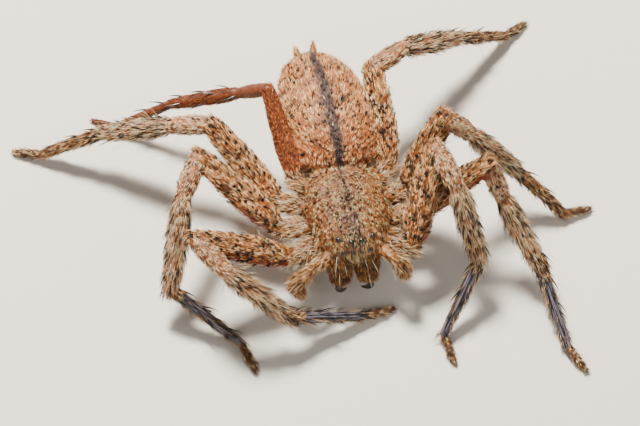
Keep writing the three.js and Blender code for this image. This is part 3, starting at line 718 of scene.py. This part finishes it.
skin_finish, w = material("skin_finish", Specular_IOR_Level=0.45)
grain, cloudy, bare = grain_of(w, 5200.0, 3.0), grain_of(w, 900.0), attribute(w, "bare", "Fac")
stretched = w.node("ShaderNodeVectorMath", {"operation": "MULTIPLY"},
                   {0: attribute(w, "limb", "Vector"), 1: STREAK_SCALE})
streaks = w.node("ShaderNodeTexNoise", {}, {"Vector": stretched, "Scale": 1.0, "Detail": 2.0})
place = w.node("ShaderNodeTexCoord", {}, {}, "Object")
pores = w.node("ShaderNodeTexVoronoi", {"feature": "F1"},
               {"Vector": place, "Scale": 2600.0}, "Distance")
shade = (0.28 + cloudy * 0.4) * (0.8 + grain * 0.4)
shaded = attribute(w, "paint", "Color").scaled(shade)
spotted = ((1 - pores.between(0.12, 0.3)) * 0.75).mixed(shaded, linear("1d120b"))
dark_streak = streaks.between(0.46, 0.52) * bare.between(0.7, 0.9)
relief = grain * 0.5 + streaks * 0.6 + pores.between(0.05, 0.35) * 0.4
wire_up(skin_finish, Base_Color=dark_streak.mixed(spotted, linear("0d0b0c")),
        Roughness=0.62 - 0.26 * bare.between(0.3, 0.9) + 0.2 * (grain - 0.5),
        Normal=w.node("ShaderNodeBump", {}, {
            "Height": relief, "Strength": 0.4, "Distance": 0.00002}, "Normal"))
skin.data.materials.append(skin_finish)
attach(skin, "root")
flesh = [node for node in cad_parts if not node.startswith(("eye_", "chelicera_", "fang_"))]
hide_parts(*flesh)

# The coat. Short hairs in small tufts lie along the skin, toward the tips of the limbs, to
# the front on the carapace and to the back behind it, and stand off more at the flanks and
# under the legs. Each hair is a thin closed blade that grows out of the skin.
UNDER_SHARE = 0.35
TUFT_WIDE = 0.08
ROOT_DEPTH = 0.04
BAKE_PATCH = 0.003
HAIR_FLOOR = 0.015
COAT_SEED = 411
COAT_FAN = 0.12
# Places along the body where the coat starts to turn backward behind the carapace, to fan
# out and to stand up at the front of the abdomen, and where it does so in full
TURNS_BACK, FANS_OUT, STANDS_UP = (3.4, 5.2), (12, 6), (7.1, 5.5)
# For each part: tufts per square millimetre, hairs in a tuft, length and width of a hair,
# its rise from the skin and its spread in degrees
COAT = {
    "prosoma": (25, 3, 0.64, 0.054, 21, 9),
    "abdomen": (23, 3, 0.70, 0.058, 19, 9),
    "spinneret": (30, 3, 0.60, 0.060, 16, 12),
    "coxa": (15, 3, 0.90, 0.055, 28, 22),
    "femur": (18, 3, 0.85, 0.056, 14, 9),
    "patella": (18, 3, 0.60, 0.055, 13, 10),
    "tibia": (19, 3, 1.00, 0.052, 13, 6),
    "metatarsus": (20, 3, 0.70, 0.048, 14, 7),
    "tarsus": (26, 3, 0.60, 0.050, 24, 12),
    "palp_femur": (16, 3, 0.70, 0.055, 18, 16),
    "palp_tibia": (18, 3, 0.80, 0.055, 24, 18),
    "palp_tarsus": (20, 3, 0.65, 0.055, 26, 16),
}
# How much lighter and redder the coat of some parts is than the mixed tones
PALER = {"prosoma": (1.32, 1.18, 1.1), "femur": (1.12, 1.08, 1.05), "patella": (1.3, 1.24, 1.22),
         "tibia": (1.4, 1.28, 1.28)}

skin_faces = np.zeros(len(skin.data.polygons) * 4, int)
skin.data.polygons.foreach_get("vertices", skin_faces)
skin_faces = skin_faces.reshape(-1, 4)
triangles = np.concatenate([skin_faces[:, [0, 1, 2]], skin_faces[:, [0, 2, 3]]])
triangle_points = skin_points[triangles]
cross = np.cross(triangle_points[:, 1] - triangle_points[:, 0],
                 triangle_points[:, 2] - triangle_points[:, 0])
areas = np.linalg.norm(cross, axis=1) / 2
weights = areas * (UNDER_SHARE + (1 - UNDER_SHARE) * ramp(unit(cross + 1e-12)[:, 2], -0.5, 0.2))
triangle_limb = skin_found["limb"][triangles[:, 0]]
triangle_part = skin_found["part"][triangles[:, 0]]


def scatter(limbs, growth, draws):
    """Random points on the skin of these limbs, with the directions out of the skin."""
    chosen = np.flatnonzero(np.isin(triangle_limb, limbs) & np.isin(triangle_part, list(growth)))
    wanted = weights[chosen] * np.array([growth[part][0] for part in triangle_part[chosen]])
    picks = draws.choice(chosen, int(wanted.sum()), p=wanted / wanted.sum())
    a, b = draws.uniform(size=(2, len(picks)))
    a, b = np.where(a + b > 1, 1 - a, a), np.where(a + b > 1, 1 - b, b)
    shares = np.stack([1 - a - b, a, b], 1)[:, :, None]
    points = (skin_points[triangles[picks]] * shares).sum(1)
    return points, unit((skin_normals[triangles[picks]] * shares).sum(1))


def lie_of(points, normals, found):
    """The direction in which the coat lies at each point, along the skin."""
    aheads = np.array([piece["ahead"] for piece in STRETCHES] + [(0, 1, 0), (0, -1, 0)])
    lie = aheads[found["number"]].astype(float)
    head = found["part"] == "prosoma"
    behind = ramp(points[head, 1], *TURNS_BACK)
    lie[head] = np.stack([-COAT_FAN * points[head, 0] * (1 - 3 * behind), -1 + 1.8 * behind,
                          -0.3 + 0.7 * behind], 1)
    tail = found["part"] == "abdomen"
    lie[tail, 0] += COAT_FAN * points[tail, 0] * ramp(points[tail, 1], *FANS_OUT)
    lie[tail, 2] += 1.4 * ramp(points[tail, 1], *STANDS_UP)
    lie -= normals * (lie * normals).sum(1, keepdims=True)
    return unit(lie + 1e-6)


def blades(name, roots, normals, lies, hairs, colours, patches, bends):
    """One mesh of hairs, each closed and three-sided, with a ring of points at its root and
    at each bend and one point at its tip. Hairs are lengths, widths and rises."""
    lengths, widths, rises = (values[:, None] for values in hairs)
    rings = bends + 1
    sides = unit(np.cross(lies, normals))
    way = [roots - normals * ROOT_DEPTH]
    for k in range(rings):
        lift = np.radians(rises) * (1 - 0.65 * k / max(bends, 1))
        way.append(way[-1] + (lies * np.cos(lift) + normals * np.sin(lift)) * lengths / rings)
    # Each hair is painted darker at its root, as painted shade among the hairs, and lighter at its
    # tip, as painted light.
    points, shades, steps = [], [], []
    for k in range(rings):
        for across, above in ((-1, 0), (1, 0), (0, 1)):
            ring_point = -sides * across * 0.5 + normals * above * 0.45
            points.append(way[k] + ring_point * widths * (1 - 0.2 * k))
            shades.append(0.4 + 0.6 * k / rings)
            steps.append((across, 2 * k / rings - 1))
    points = np.stack(points + [way[-1]], 1)
    points[:, :, 2] = np.maximum(points[:, :, 2], HAIR_FLOOR)
    shades = np.array(shades + [1.25])
    steps = np.array(steps + [(0, 1)]) * BAKE_PATCH / 2
    count, size = len(roots), rings * 3 + 1
    pairs = ((0, 1), (1, 2), (2, 0))
    quads = [(3 * r + a, 3 * r + b, 3 * r + 3 + b, 3 * r + 3 + a)
             for r in range(bends) for a, b in pairs]
    tris = [(size - 4 + a, size - 4 + b, size - 1) for a, b in pairs] + [(0, 2, 1)]
    first = np.arange(count)[:, None] * size
    corners = np.concatenate([(first + np.array(quads, int).reshape(1, -1)).ravel(),
                              (first + np.array(tris).reshape(1, -1)).ravel()])
    made = bpy.data.meshes.new(name)
    made.vertices.add(count * size)
    made.vertices.foreach_set("co", (points * MM + np.array(ZERO)).astype(np.float32).ravel())
    made.loops.add(len(corners))
    made.loops.foreach_set("vertex_index", corners.astype(np.int32))
    quad_corners = count * len(quads) * 4
    starts = np.concatenate([np.arange(0, quad_corners, 4),
                             np.arange(quad_corners, len(corners), 3)])
    made.polygons.add(len(starts))
    made.polygons.foreach_set("loop_start", starts.astype(np.int32))
    made.update(calc_edges=True)
    made.polygons.foreach_set("use_smooth", np.ones(len(starts), bool))
    # The hair colours carry the painted shade at the roots and the painted light at the tips.
    give_paint(made, np.clip(colours[:, None, :] * shades[None, :, None], 0, 1))
    spread = (patches[:, None, :] + steps[None]).reshape(-1, 2)[corners]
    made.uv_layers.new(name="OFBake").data.foreach_set("uv", spread.astype(np.float32).ravel())
    thing = bpy.data.objects.new(name, made)
    scene.collection.objects.link(thing)
    return thing


def bake_places(limbs, turns, along):
    """The place of each root on the unrolled skin: round it and along it, with a column
    for each limb or part of the body."""
    names, column = np.unique(limbs, return_inverse=True)
    around = turns / (2 * math.pi) + 0.5
    reach = along - along.min()
    share = reach / max(reach.max(), 1e-6)
    return np.stack([(column + 0.03 + 0.94 * around) / len(names), 0.01 + 0.98 * share], 1)


def dress(name, roots, normals, lies, kinds, colours, places, draws, bends, loose=1.0):
    """A piece of hair: tufts at these roots, of these kinds of hair, each hair its own way."""
    again = np.repeat(np.arange(len(roots)), kinds[:, 1].astype(int))
    count = len(again)
    roots, normals, lies, kinds = roots[again], normals[again], lies[again], kinds[again]
    sides = unit(np.cross(lies, normals))
    sway = waves(roots, 1.3, 21) * 0.12 + np.radians(kinds[:, 5]) * draws.normal(size=count)
    lies = lies * np.cos(sway)[:, None] + sides * np.sin(sway)[:, None]
    roots = roots + sides * draws.normal(0, TUFT_WIDE * loose, count)[:, None]
    hairs = (kinds[:, 2] * draws.uniform(0.7, 1.25, count), kinds[:, 3],
             kinds[:, 4] * draws.uniform(0.5, 1.6, count))
    shades = colours[again] * draws.normal(1, 0.12, (count, 1)).clip(0.7, 1.3)
    piece = blades(name, roots, normals, lies, hairs, shades, places[again], bends)
    piece.data.materials.append(hair_finish)
    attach(piece, "root")
    return piece


def grow(name, limbs, growth, tint, share, draws, bends=1, loose=1.0):
    """Hair all over some limbs, thinned to a share of it and coloured by tint."""
    points, normals = scatter(limbs, growth, draws)
    found = survey(points, normals)
    kept = draws.uniform(size=len(points)) < share(found, points)
    points, normals = points[kept], normals[kept]
    found = {key: values[kept] for key, values in found.items()}
    otherwise = next(iter(growth.values()))
    kinds = np.array([growth.get(part, otherwise) for part in found["part"]], float)
    kinds[:, 2] *= np.where(found["rusty"], 0.75, 1) * (1 + 0.3 * found["side"])
    kinds[:, 4] *= np.where(found["rusty"], 0.6, 1) * (1 + 0.4 * found["side"])
    return dress(name, points, normals, lie_of(points, normals, found), kinds,
                 tint(found, points, draws),
                 bake_places(found["limb"], found["turn"], found["along"]), draws, bends, loose)


def coat_colours(found, points, draws):
    """Tan, straw and cream tufts with brown ones between, darker where a marking is, and with
    painted shade where abdomen and carapace meet. The draw of each tuft, from 0 to 1, picks its
    tones."""
    part, corners, flank = (found[key] for key in ("part", "corners", "flank"))
    pick = draws.uniform(size=len(points))
    head, femur, shank = part == "prosoma", part == "femur", np.isin(part, ("tibia", "patella"))
    colours = painted(
        np.tile(TONES["tan"], (len(points), 1)),
        ("straw", pick < 0.55),
        ("cream", pick < 0.26),
        ("rose", (part == "abdomen") * (pick > 0.12) * 0.6),
        ("rose", head * (pick > 0.4) * 0.2),
        ("ochre", femur * (pick > 0.4) * 0.3),
        ("blush", shank * (pick < 0.74) * 0.75),
        ("blush", femur * (pick < 0.4) * 0.4),
        ("umber", pick > np.where(shank, 0.8, 0.74)),
        ("brown", head * (pick > 0.9)),
        ("cream", head * (pick < 0.46) * 0.75),
        ("straw", head * (pick > 0.46) * (pick < 0.6)),
        ("white", shank * (pick < 0.4) * 0.6),
        ("ochre", corners * (pick > 0.15) * 0.85),
        ("rust", corners * (pick > 0.55) * 0.75),
        ("umber", corners * (pick > 0.8) * 0.8),
        ("ochre", flank * (pick > 0.3) * 0.4),
        ("cream", flank * (pick < 0.3) * 0.5),
        # Painted shade: brown on the hairs where abdomen and carapace meet.
        ("brown", found["waist_shade"] * 0.75),
        ("umber", ramp(found["mottle"], 0.1, 1.0) * 0.4),
        ("lilac", found["lilac"] * (pick > 0.2) * (pick < 0.75) * 0.55),
        ("plum", found["band"] * (pick > 0.3) * 0.7),
        ("mauve", found["heart"] * (pick > 0.04) * 0.95),
        ("plum", found["heart"] * ramp(points[:, 1], 8.5, 6.5) * 0.6),
        ("brown", found["blotches"] * 0.9),
        ("fire", found["fire"] * 0.85),
        ("white", (part == "coxa") * (pick < 0.3) * 0.6),
        ("fire", (part == "palp_tarsus") * (pick > 0.6) * 0.7),
        ("brown", (part == "tarsus") * (pick > 0.25) * 0.75),
        ("umber", (part == "metatarsus") * (pick > 0.5) * 0.6),
        ("rust", found["rusty"]),
        ("ochre", found["rusty"] * (pick < 0.4) * 0.7))
    paler = np.array([PALER.get(name, (1, 1, 1)) for name in part])
    return np.clip(colours * np.where(found["rusty"][:, None], 1, paler), 0, 1)


def coat_share(found, points):
    """How much of the coat grows: little on bare strips and fiery fronts, none in hollows."""
    bald = np.maximum(found["fire"] * 0.7, found["bare"] * (1 - 0.6 * found["side"]))
    return 1 - np.maximum(bald, hollows(points, found["part"]))


hair_finish, w = material("hair_finish", Specular_IOR_Level=0.35)
grain = grain_of(w, 3500.0, 1.0)
wire_up(hair_finish, Roughness=0.42 + grain * 0.2,
        Base_Color=attribute(w, "paint", "Color").scaled(0.75 + grain * 0.5))

draws = np.random.default_rng(COAT_SEED)
grow("coat_prosoma", ["prosoma"], COAT, coat_colours, coat_share, draws, bends=0)
grow("coat_abdomen", ["abdomen", "spinneret_r", "spinneret_l"], COAT, coat_colours,
     coat_share, draws, bends=0)
for name in LEGS:
    slot = "leg_rust" if name == "r4" else "leg_coat"
    grow(f"coat_leg_{name}", [f"leg_{name}"], COAT, coat_colours, coat_share, draws)
grow("coat_palps", ["palp_r", "palp_l"], COAT, coat_colours, coat_share, draws)

# The long hairs. Thin pale hairs, silvery round the carapace's rim, on the coxae and at the
# abdomen's flanks, rosy on the legs, that stand out past the coat by a millimetre or more.
LONG_HAIRS = {
    "prosoma": (6, 2, 1.15, 0.050, 30, 22),
    "abdomen": (4, 1, 1.25, 0.045, 34, 16),
    "spinneret": (4, 1, 0.95, 0.040, 26, 14),
    "coxa": (5, 2, 1.35, 0.050, 36, 26),
    "femur": (1.6, 1, 1.55, 0.045, 36, 18),
    "patella": (0.9, 1, 1.30, 0.040, 36, 16),
    "tibia": (1.8, 1, 1.75, 0.045, 38, 14),
    "metatarsus": (1.6, 1, 1.35, 0.040, 44, 12),
    "tarsus": (2.5, 1, 0.90, 0.045, 40, 18),
    "palp_femur": (3, 1, 1.30, 0.050, 36, 20),
    "palp_tibia": (4, 1, 1.30, 0.050, 40, 20),
    "palp_tarsus": (4, 1, 1.10, 0.050, 40, 20),
}


def long_colours(found, points, draws):
    part = found["part"]
    body = np.isin(part, ("prosoma", "abdomen", "coxa", "palp_femur", "palp_tibia"))
    return painted(
        np.tile(TONES["cream"], (len(points), 1)),
        ("white", body * draws.uniform(0, 1, len(points))),
        ("tan", (draws.uniform(size=len(points)) < 0.3) * 0.6),
        ("rose", (part == "metatarsus") * 0.5),
        ("brown", (part == "tarsus") * 0.85))


def long_share(found, points):
    """On the body only round the edge, on the rusty leg none but at its root."""
    body = np.isin(found["part"], ("prosoma", "abdomen"))
    share = np.where(body, ramp(found["side"], 0.1, 0.7), 1.0)
    return share * np.where(found["rusty"] & (found["along"] > 4), 0.12, 1.0)


grow("long_hairs_body", ["prosoma", "abdomen", "spinneret_r", "spinneret_l"],
     LONG_HAIRS, long_colours, long_share, draws, bends=2, loose=2.0)
grow("long_hairs_legs", [f"leg_{name}" for name in LEGS] + ["palp_r", "palp_l"],
     LONG_HAIRS, long_colours, long_share, draws, bends=2, loose=2.0)

# The dark dots. Small tight tufts of black hairs over the coat: round dots on the back and
# the carapace, larger blotches on the femora and long dashes on the tibiae.
DARK_TUFTS = {
    "prosoma": (2.6, 7, 0.34, 0.100, 38, 9),
    "abdomen": (1.5, 9, 0.42, 0.110, 38, 8),
    "coxa": (1.2, 5, 0.55, 0.080, 34, 10),
    "femur": (1.5, 11, 0.55, 0.115, 30, 8),
    "patella": (0.6, 5, 0.50, 0.090, 30, 7),
    "tibia": (1.5, 5, 1.30, 0.080, 18, 2.5),
    "metatarsus": (1.3, 4, 1.10, 0.075, 18, 2.5),
    "palp_tibia": (1.2, 4, 0.50, 0.080, 32, 8),
    "palp_tarsus": (1.4, 4, 0.50, 0.080, 32, 8),
}


def dark_colours(found, points, draws):
    shade = draws.uniform(size=len(points)) * np.where(found["part"] == "femur", 1.0, 0.35)
    return painted(np.tile(TONES["black"], (len(points), 1)), ("brown", shade))


def dark_share(found, points):
    return np.where(found["rusty"], 0.0, 1.0) * (1 - 0.5 * found["fire"])


grow("dark_tufts_body", ["prosoma", "abdomen"], DARK_TUFTS, dark_colours,
     dark_share, draws, loose=0.8)
grow("dark_tufts_legs", [f"leg_{name}" for name in LEGS] + ["palp_r", "palp_l"],
     DARK_TUFTS, dark_colours, dark_share, draws, loose=1.1)

# The black marks. Close rows of short black hairs line the furrow of the carapace and the
# lines from it to the eyes, and fill the muscle pits on the abdomen. Each mark runs from
# one place on the back to another and has a width and a number of hairs.
MARKS = [(0.0, 1.3, 0.0, -1.2, 0.05, 170), (-0.1, 1.1, -0.75, -0.9, 0.06, 60),
         (0.1, 1.1, 0.7, -0.7, 0.06, 40)]
MARKS += [(line * 0.9, -1.3, line * 0.6, -4.9, 0.04, 34) for line in DARK_LINES]
MARKS += [(x - 0.08, y + 0.1, x + 0.08, y - 0.1, 0.13, 120) for x, y, _ in PITS]
MARKS += [(1.55, 12.3, 1.05, 11.3, 0.05, 40)]
MARKS += [(-2.1, 16.6, -2.05, 16.4, 0.07, 12), (-1.5, 15.5, -1.45, 15.3, 0.07, 12),
          (-2.3, 13.6, -2.25, 13.4, 0.07, 12), (-2.5, 14.6, -2.45, 14.4, 0.07, 12),
          (-0.3, 6.4, 0.0, 5.4, 0.1, 70), (-0.28, 5.3, 0.0, 1.4, 0.04, 90)]
MARK_HAIR = (1, 1, 0.38, 0.085, 34, 10)

mark_points = np.concatenate([
    np.array((x0, y0)) + np.outer(draws.uniform(size=count), (x1 - x0, y1 - y0))
    + draws.normal(0, wide, (count, 2)) for x0, y0, x1, y1, wide, count in MARKS])
on_body = np.isin(skin_found["part"], ("prosoma", "abdomen"))
upper = np.flatnonzero((skin_normals[:, 2] > 0.2) & on_body)
apart = np.linalg.norm(skin_points[upper][None, :, :2] - mark_points[:, None], axis=2)
mark_vertices = upper[apart.argmin(1)]
mark_normals = skin_normals[mark_vertices]
mark_roots = np.column_stack([mark_points, skin_points[mark_vertices, 2]])
mark_found = survey(mark_roots, mark_normals)
dress("black_marks", mark_roots, mark_normals,
      lie_of(mark_roots, mark_normals, mark_found), np.tile(MARK_HAIR, (len(mark_roots), 1)),
      np.tile(TONES["black"], (len(mark_roots), 1)),
      bake_places(mark_found["limb"], mark_found["turn"], mark_found["along"]), draws, 0, loose=0.0)

# The spines. Black shining horn spikes that lie along tibiae and metatarsi in pairs and on
# top of the femora, each a curve given thickness and bent down toward the leg.
SPINE_ROWS = {
    "femur": ((0.3, 95), (0.52, 70), (0.55, 125), (0.8, 95)),
    "tibia": ((0.12, 40), (0.12, 140), (0.38, 90), (0.5, 25), (0.5, 155), (0.82, 50), (0.82, 130)),
    "metatarsus": ((0.08, 30), (0.08, 150), (0.42, 35), (0.42, 145)),
}
SPINE = {"Length": 2.0 * MM, "Thickness": 0.11 * MM, "Bend": 0.4 * MM}
SPINE_RISE, SPINE_ROOT = 26, 0.08


def with_nodes(thing, group, values):
    """The object with a node group worked into its mesh, its inputs set by name."""
    modifier = thing.modifiers.new(group.name, "NODES")
    modifier.node_group = group
    for item in group.interface.items_tree:
        if item.in_out == "INPUT" and item.name in values:
            modifier[item.identifier] = values[item.name]
    return settled(thing)


def spine_nodes():
    """A node group that puts a bent, tapered spine on each point, along its lie."""
    group = bpy.data.node_groups.new("spine_nodes", "GeometryNodeTree")
    for name, kind in (("Roots", "Geometry"), ("Length", "Float"), ("Thickness", "Float"),
                       ("Bend", "Float"), ("Finish", "Material")):
        group.interface.new_socket(name, in_out="INPUT", socket_type=f"NodeSocket{kind}")
    group.interface.new_socket("Spines", in_out="OUTPUT", socket_type="NodeSocketGeometry")
    given = group.nodes.new("NodeGroupInput")
    roots, length, thickness, bend, finish = (Wire(group, given.outputs[k]) for k in range(5))
    g = Wire(group)
    top = g.node("ShaderNodeCombineXYZ", {}, {"Z": length})
    line = g.node("GeometryNodeCurvePrimitiveLine", {}, {"End": top})
    line = g.node("GeometryNodeResampleCurve", {}, {"Curve": line, "Count": 8})
    along = g.node("GeometryNodeSplineParameter", {}, {}, "Factor")
    bow = g.node("ShaderNodeCombineXYZ", {}, {"X": along * along * bend * -1.0})
    line = g.node("GeometryNodeSetPosition", {}, {"Geometry": line, "Offset": bow})
    ring = g.node("GeometryNodeCurvePrimitiveCircle", {}, {"Resolution": 8, "Radius": 1.0})
    taper = thickness * (1.03 - along * along * 0.5 - along * 0.5)
    horn = g.node("GeometryNodeCurveToMesh", {}, {
        "Curve": line, "Profile Curve": ring, "Scale": taper, "Fill Caps": True})
    lie = g.node("GeometryNodeInputNamedAttribute", {"data_type": "FLOAT_VECTOR"}, {"Name": "lie"})
    out = g.node("GeometryNodeInputNamedAttribute", {"data_type": "FLOAT_VECTOR"}, {"Name": "out"})
    aimed = g.node("FunctionNodeAlignRotationToVector", {"axis": "Z"}, {"Vector": lie})
    turned = g.node("FunctionNodeAlignRotationToVector", {"axis": "X", "pivot_axis": "Z"},
                    {"Rotation": aimed, "Vector": out})
    spines = g.node("GeometryNodeInstanceOnPoints", {}, {
        "Points": roots, "Instance": horn, "Rotation": turned})
    spines = g.node("GeometryNodeRealizeInstances", {}, {"Geometry": spines})
    spines = g.node("GeometryNodeSetShadeSmooth", {}, {"Geometry": spines})
    spines = g.node("GeometryNodeSetMaterial", {}, {"Geometry": spines, "Material": finish})
    result = group.nodes.new("NodeGroupOutput")
    group.links.new(spines.socket, result.inputs["Spines"])
    return group


def on_stretch(piece, places, turns):
    """Points on a stretch at these places along it and turns round it, in radians, and the
    directions out of its skin there."""
    radius = np.interp(places, piece["places"], piece["radii"])[:, None]
    sideways = np.outer(np.cos(turns), piece["across"])
    upward = np.outer(np.sin(turns), piece["upward"])
    middle = piece["start"] + np.outer(places, piece["ahead"]) * piece["length"]
    return middle + radius * (sideways * piece["wide"] + upward), unit(sideways + upward)


horn_finish, w = material("horn_finish", Specular_IOR_Level=0.6, Coat_Weight=0.3)
grain = grain_of(w, 2600.0)
wire_up(horn_finish, Base_Color=grain.between(0.35, 0.7).mixed(linear("0b0807"), linear("2a170e")),
        Roughness=0.22 + grain * 0.2)

spine_roots, spine_lies, spine_outs = [], [], []
for piece in STRETCHES:
    for spine_place, spine_turn in SPINE_ROWS.get(piece["part"], ()):
        if piece["limb"] == RUSTY_LEG and piece["part"] == "femur":
            continue
        shifted = np.array([spine_place + draws.uniform(-0.05, 0.05)])
        turn = np.array([math.radians(spine_turn + draws.uniform(-12, 12))])
        point, out = on_stretch(piece, shifted, turn)
        rise = math.radians(SPINE_RISE * draws.uniform(0.7, 1.3))
        spine_roots.append(point[0] - out[0] * SPINE_ROOT)
        spine_lies.append(piece["ahead"] * math.cos(rise) + out[0] * math.sin(rise))
        spine_outs.append(out[0])
spines = mesh_object("spines", spine_roots, [])
give_attribute(spines.data, "lie", "FLOAT_VECTOR", spine_lies)
give_attribute(spines.data, "out", "FLOAT_VECTOR", spine_outs)
with_nodes(spines, spine_nodes(), {**SPINE, "Finish": horn_finish})
spine_points = coordinates(spines.data)
spine_points[:, 2] = np.maximum(spine_points[:, 2], HAIR_FLOOR)
set_coordinates(spines.data, spine_points)
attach(spines, "root")

# The claws. A pair of dark hooks at the end of each foot, half hidden in the last hairs.
CLAW_APART = 0.13
CLAW_RADII = (0.0, 0.075, 0.07, 0.06, 0.045, 0.025, 0.0)


def hook(points, radii, sides):
    """A tapered horn along the curve through three points."""
    times = np.linspace(0, 1, len(radii))
    fit = np.polyfit((0, 0.5, 1), np.array(points), 2)
    way = np.stack([np.polyval(fit[:, k], times) for k in range(3)], 1)
    return tube_along(way, radii, sides)


claw_forms = []
for foot in (piece for piece in STRETCHES if piece["part"] == "tarsus"):
    ahead, upward = foot["ahead"], foot["upward"]
    for apart in (-CLAW_APART, CLAW_APART):
        root = foot["end"] + foot["across"] * apart
        points, faces = hook((root - ahead * 0.15, root + ahead * 0.28 + upward * 0.1,
                              root + ahead * 0.45 - upward * 0.2), CLAW_RADII, 8)
        points[:, 2] = np.maximum(points[:, 2], HAIR_FLOOR)
        claw_forms.append((points, faces))
claws = joined("claws", claw_forms)
claws.data.materials.append(horn_finish)
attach(claws, "root")

# The jaws. Two stout brown chelicerae under the face, covered with ochre hair darkened as painted
# shade under the head, with a few long white bristles in front, and the two dark fangs folded
# inward under them.
JAW_SHIFT = -0.35
JAW_ROOT, JAW_END = (1.4, -4.7, 6.3), (1.55, -7.0, 3.5)
JAW_SHAPE = ((0, 0.2, 0.5, 0.85, 1), (1.15, 1.3, 1.34, 1.1, 0.85), 1.0)
FANG_WAY = ((1.9, -7.2, 2.9), (1.6, -7.5, 1.9), (0.7, -7.1, 1.5))
FANG_RADII = (0.0, 0.3, 0.4, 0.38, 0.33, 0.27, 0.2, 0.12, 0.0)
# The second number darkens the hair on the jaws, as painted shade under the head.
JAW_GIRTH, JAW_PAINTED_SHADE = 1.25, 0.62
JAW_HAIR = (26, 3, 0.75, 0.055, 20, 18)
JAW_BRISTLES = ((0.1, 70), (0.34, 105), (0.62, 80))
BRISTLE_HAIR = (1, 1, 2.3, 0.075, 24, 6)

SHAPES["chelicera"] = JAW_SHAPE
jaws, jaw_forms, fang_forms = [], [], []
for side in (-1, 1):
    root, end, *way = [np.array((p[0] * side + JAW_SHIFT, p[1], p[2]))
                       for p in (JAW_ROOT, JAW_END, *FANG_WAY)]
    jaws.append(stretch("jaw", "chelicera", root, end, 0))
    jaw_forms.append(limb_form(jaws[-1], sides=32, steps=24))
    fang_forms.append(hook(way, FANG_RADII, 20))

jaw_finish, w = material("jaw_finish", Specular_IOR_Level=0.5)
grain = grain_of(w, 1500.0, 4.0)
wire_up(jaw_finish, Base_Color=grain.between(0.35, 0.65).mixed(linear("2b1a0c"), linear("5b3a17")),
        Roughness=0.35 + grain * 0.25,
        Normal=w.node("ShaderNodeBump", {}, {
            "Height": grain, "Strength": 0.4, "Distance": 0.00005}, "Normal"))

chelicerae = joined("chelicerae", jaw_forms)
chelicerae.data.materials.append(jaw_finish)
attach(chelicerae, "root")
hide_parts("chelicera_r", "chelicera_l")
fangs = joined("fangs", fang_forms)
fangs.data.materials.append(horn_finish)
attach(fangs, "root")
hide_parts("fang_r", "fang_l")


def dress_jaw(name, jaw, hair, places, turns, colours, bends, loose):
    roots, outs = on_stretch(jaw, places, turns)
    count = len(places)
    dress(name, roots, outs, np.tile(jaw["ahead"], (count, 1)), np.tile(hair, (count, 1)),
          colours, bake_places(np.zeros(count), turns, places), draws, bends, loose)


for name, jaw in zip(("coat_jaw_r", "coat_jaw_l"), jaws):
    count = int(JAW_HAIR[0] * 2 * math.pi * JAW_GIRTH * jaw["length"])
    places = draws.uniform(0.05, 1.0, count)
    turns = draws.uniform(-math.pi, math.pi, count)
    pick = draws.uniform(size=count)
    # The jaws' hair colours are darkened as painted shade under the head.
    colours = painted(np.tile(TONES["ochre"], (count, 1)), ("straw", pick < 0.35),
                      ("umber", pick > 0.55), ("brown", pick > 0.85)) * JAW_PAINTED_SHADE
    dress_jaw(name, jaw, JAW_HAIR, places, turns, colours, 1, 1.0)
for name, jaw in zip(("bristles_jaw_r", "bristles_jaw_l"), jaws):
    places, turns = np.array(JAW_BRISTLES).T
    places = places + draws.uniform(-0.04, 0.04, len(turns))
    dress_jaw(name, jaw, BRISTLE_HAIR, places, np.radians(turns),
              np.tile(TONES["white"], (len(turns), 1)), 2, 0.0)

# The eyes. Eight smooth black domes with a raised brown rim, in two rows of four across the
# front of the head, each where its place on the head is.
HEAD_MIDDLE = np.array((0, -3.6, 6.5))
EYE_PROFILE = ((-0.5, 0.0), (-0.45, 0.8), (0.0, 1.0), (0.3, 0.96), (0.55, 0.84), (0.75, 0.66),
               (0.9, 0.43), (0.98, 0.2), (1.0, 0.0))
RIM_PROFILE = ((-0.4, 0.0), (-0.35, 1.22), (0.02, 1.2), (0.16, 1.1), (0.15, 0.95), (0.0, 0.8),
               (-0.1, 0.0))
eye_nodes = [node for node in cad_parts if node.startswith("eye_")]
eye_forms, rim_forms = [], []
for node in eye_nodes:
    low, high = (np.array(corner) - np.array(ZERO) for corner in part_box(node))
    centre, size = (low + high) / 2 / MM, (high - low).mean() / 2 / MM
    out = unit(centre - HEAD_MIDDLE)
    for forms_of, profile in ((eye_forms, EYE_PROFILE), (rim_forms, RIM_PROFILE)):
        way = [centre + out * size * along for along, _ in profile]
        forms_of.append(tube_along(way, [size * radius for _, radius in profile], sides=28))

eye_finish, w = material("eye_finish", Specular_IOR_Level=0.5, Coat_Weight=0.4,
                         Coat_Roughness=0.04)
grain = grain_of(w, 1800.0, 1.0)
wire_up(eye_finish, Base_Color=grain.between(0.4, 0.7).mixed(linear("060404"), linear("1d0f09")),
        Roughness=0.12 + grain * 0.08)

eyes = joined("eyes", eye_forms)
eyes.data.materials.append(eye_finish)
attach(eyes, "root")
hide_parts(*eye_nodes)
rims = joined("eye_rims", rim_forms)
rims.data.materials.append(jaw_finish)
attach(rims, "root")
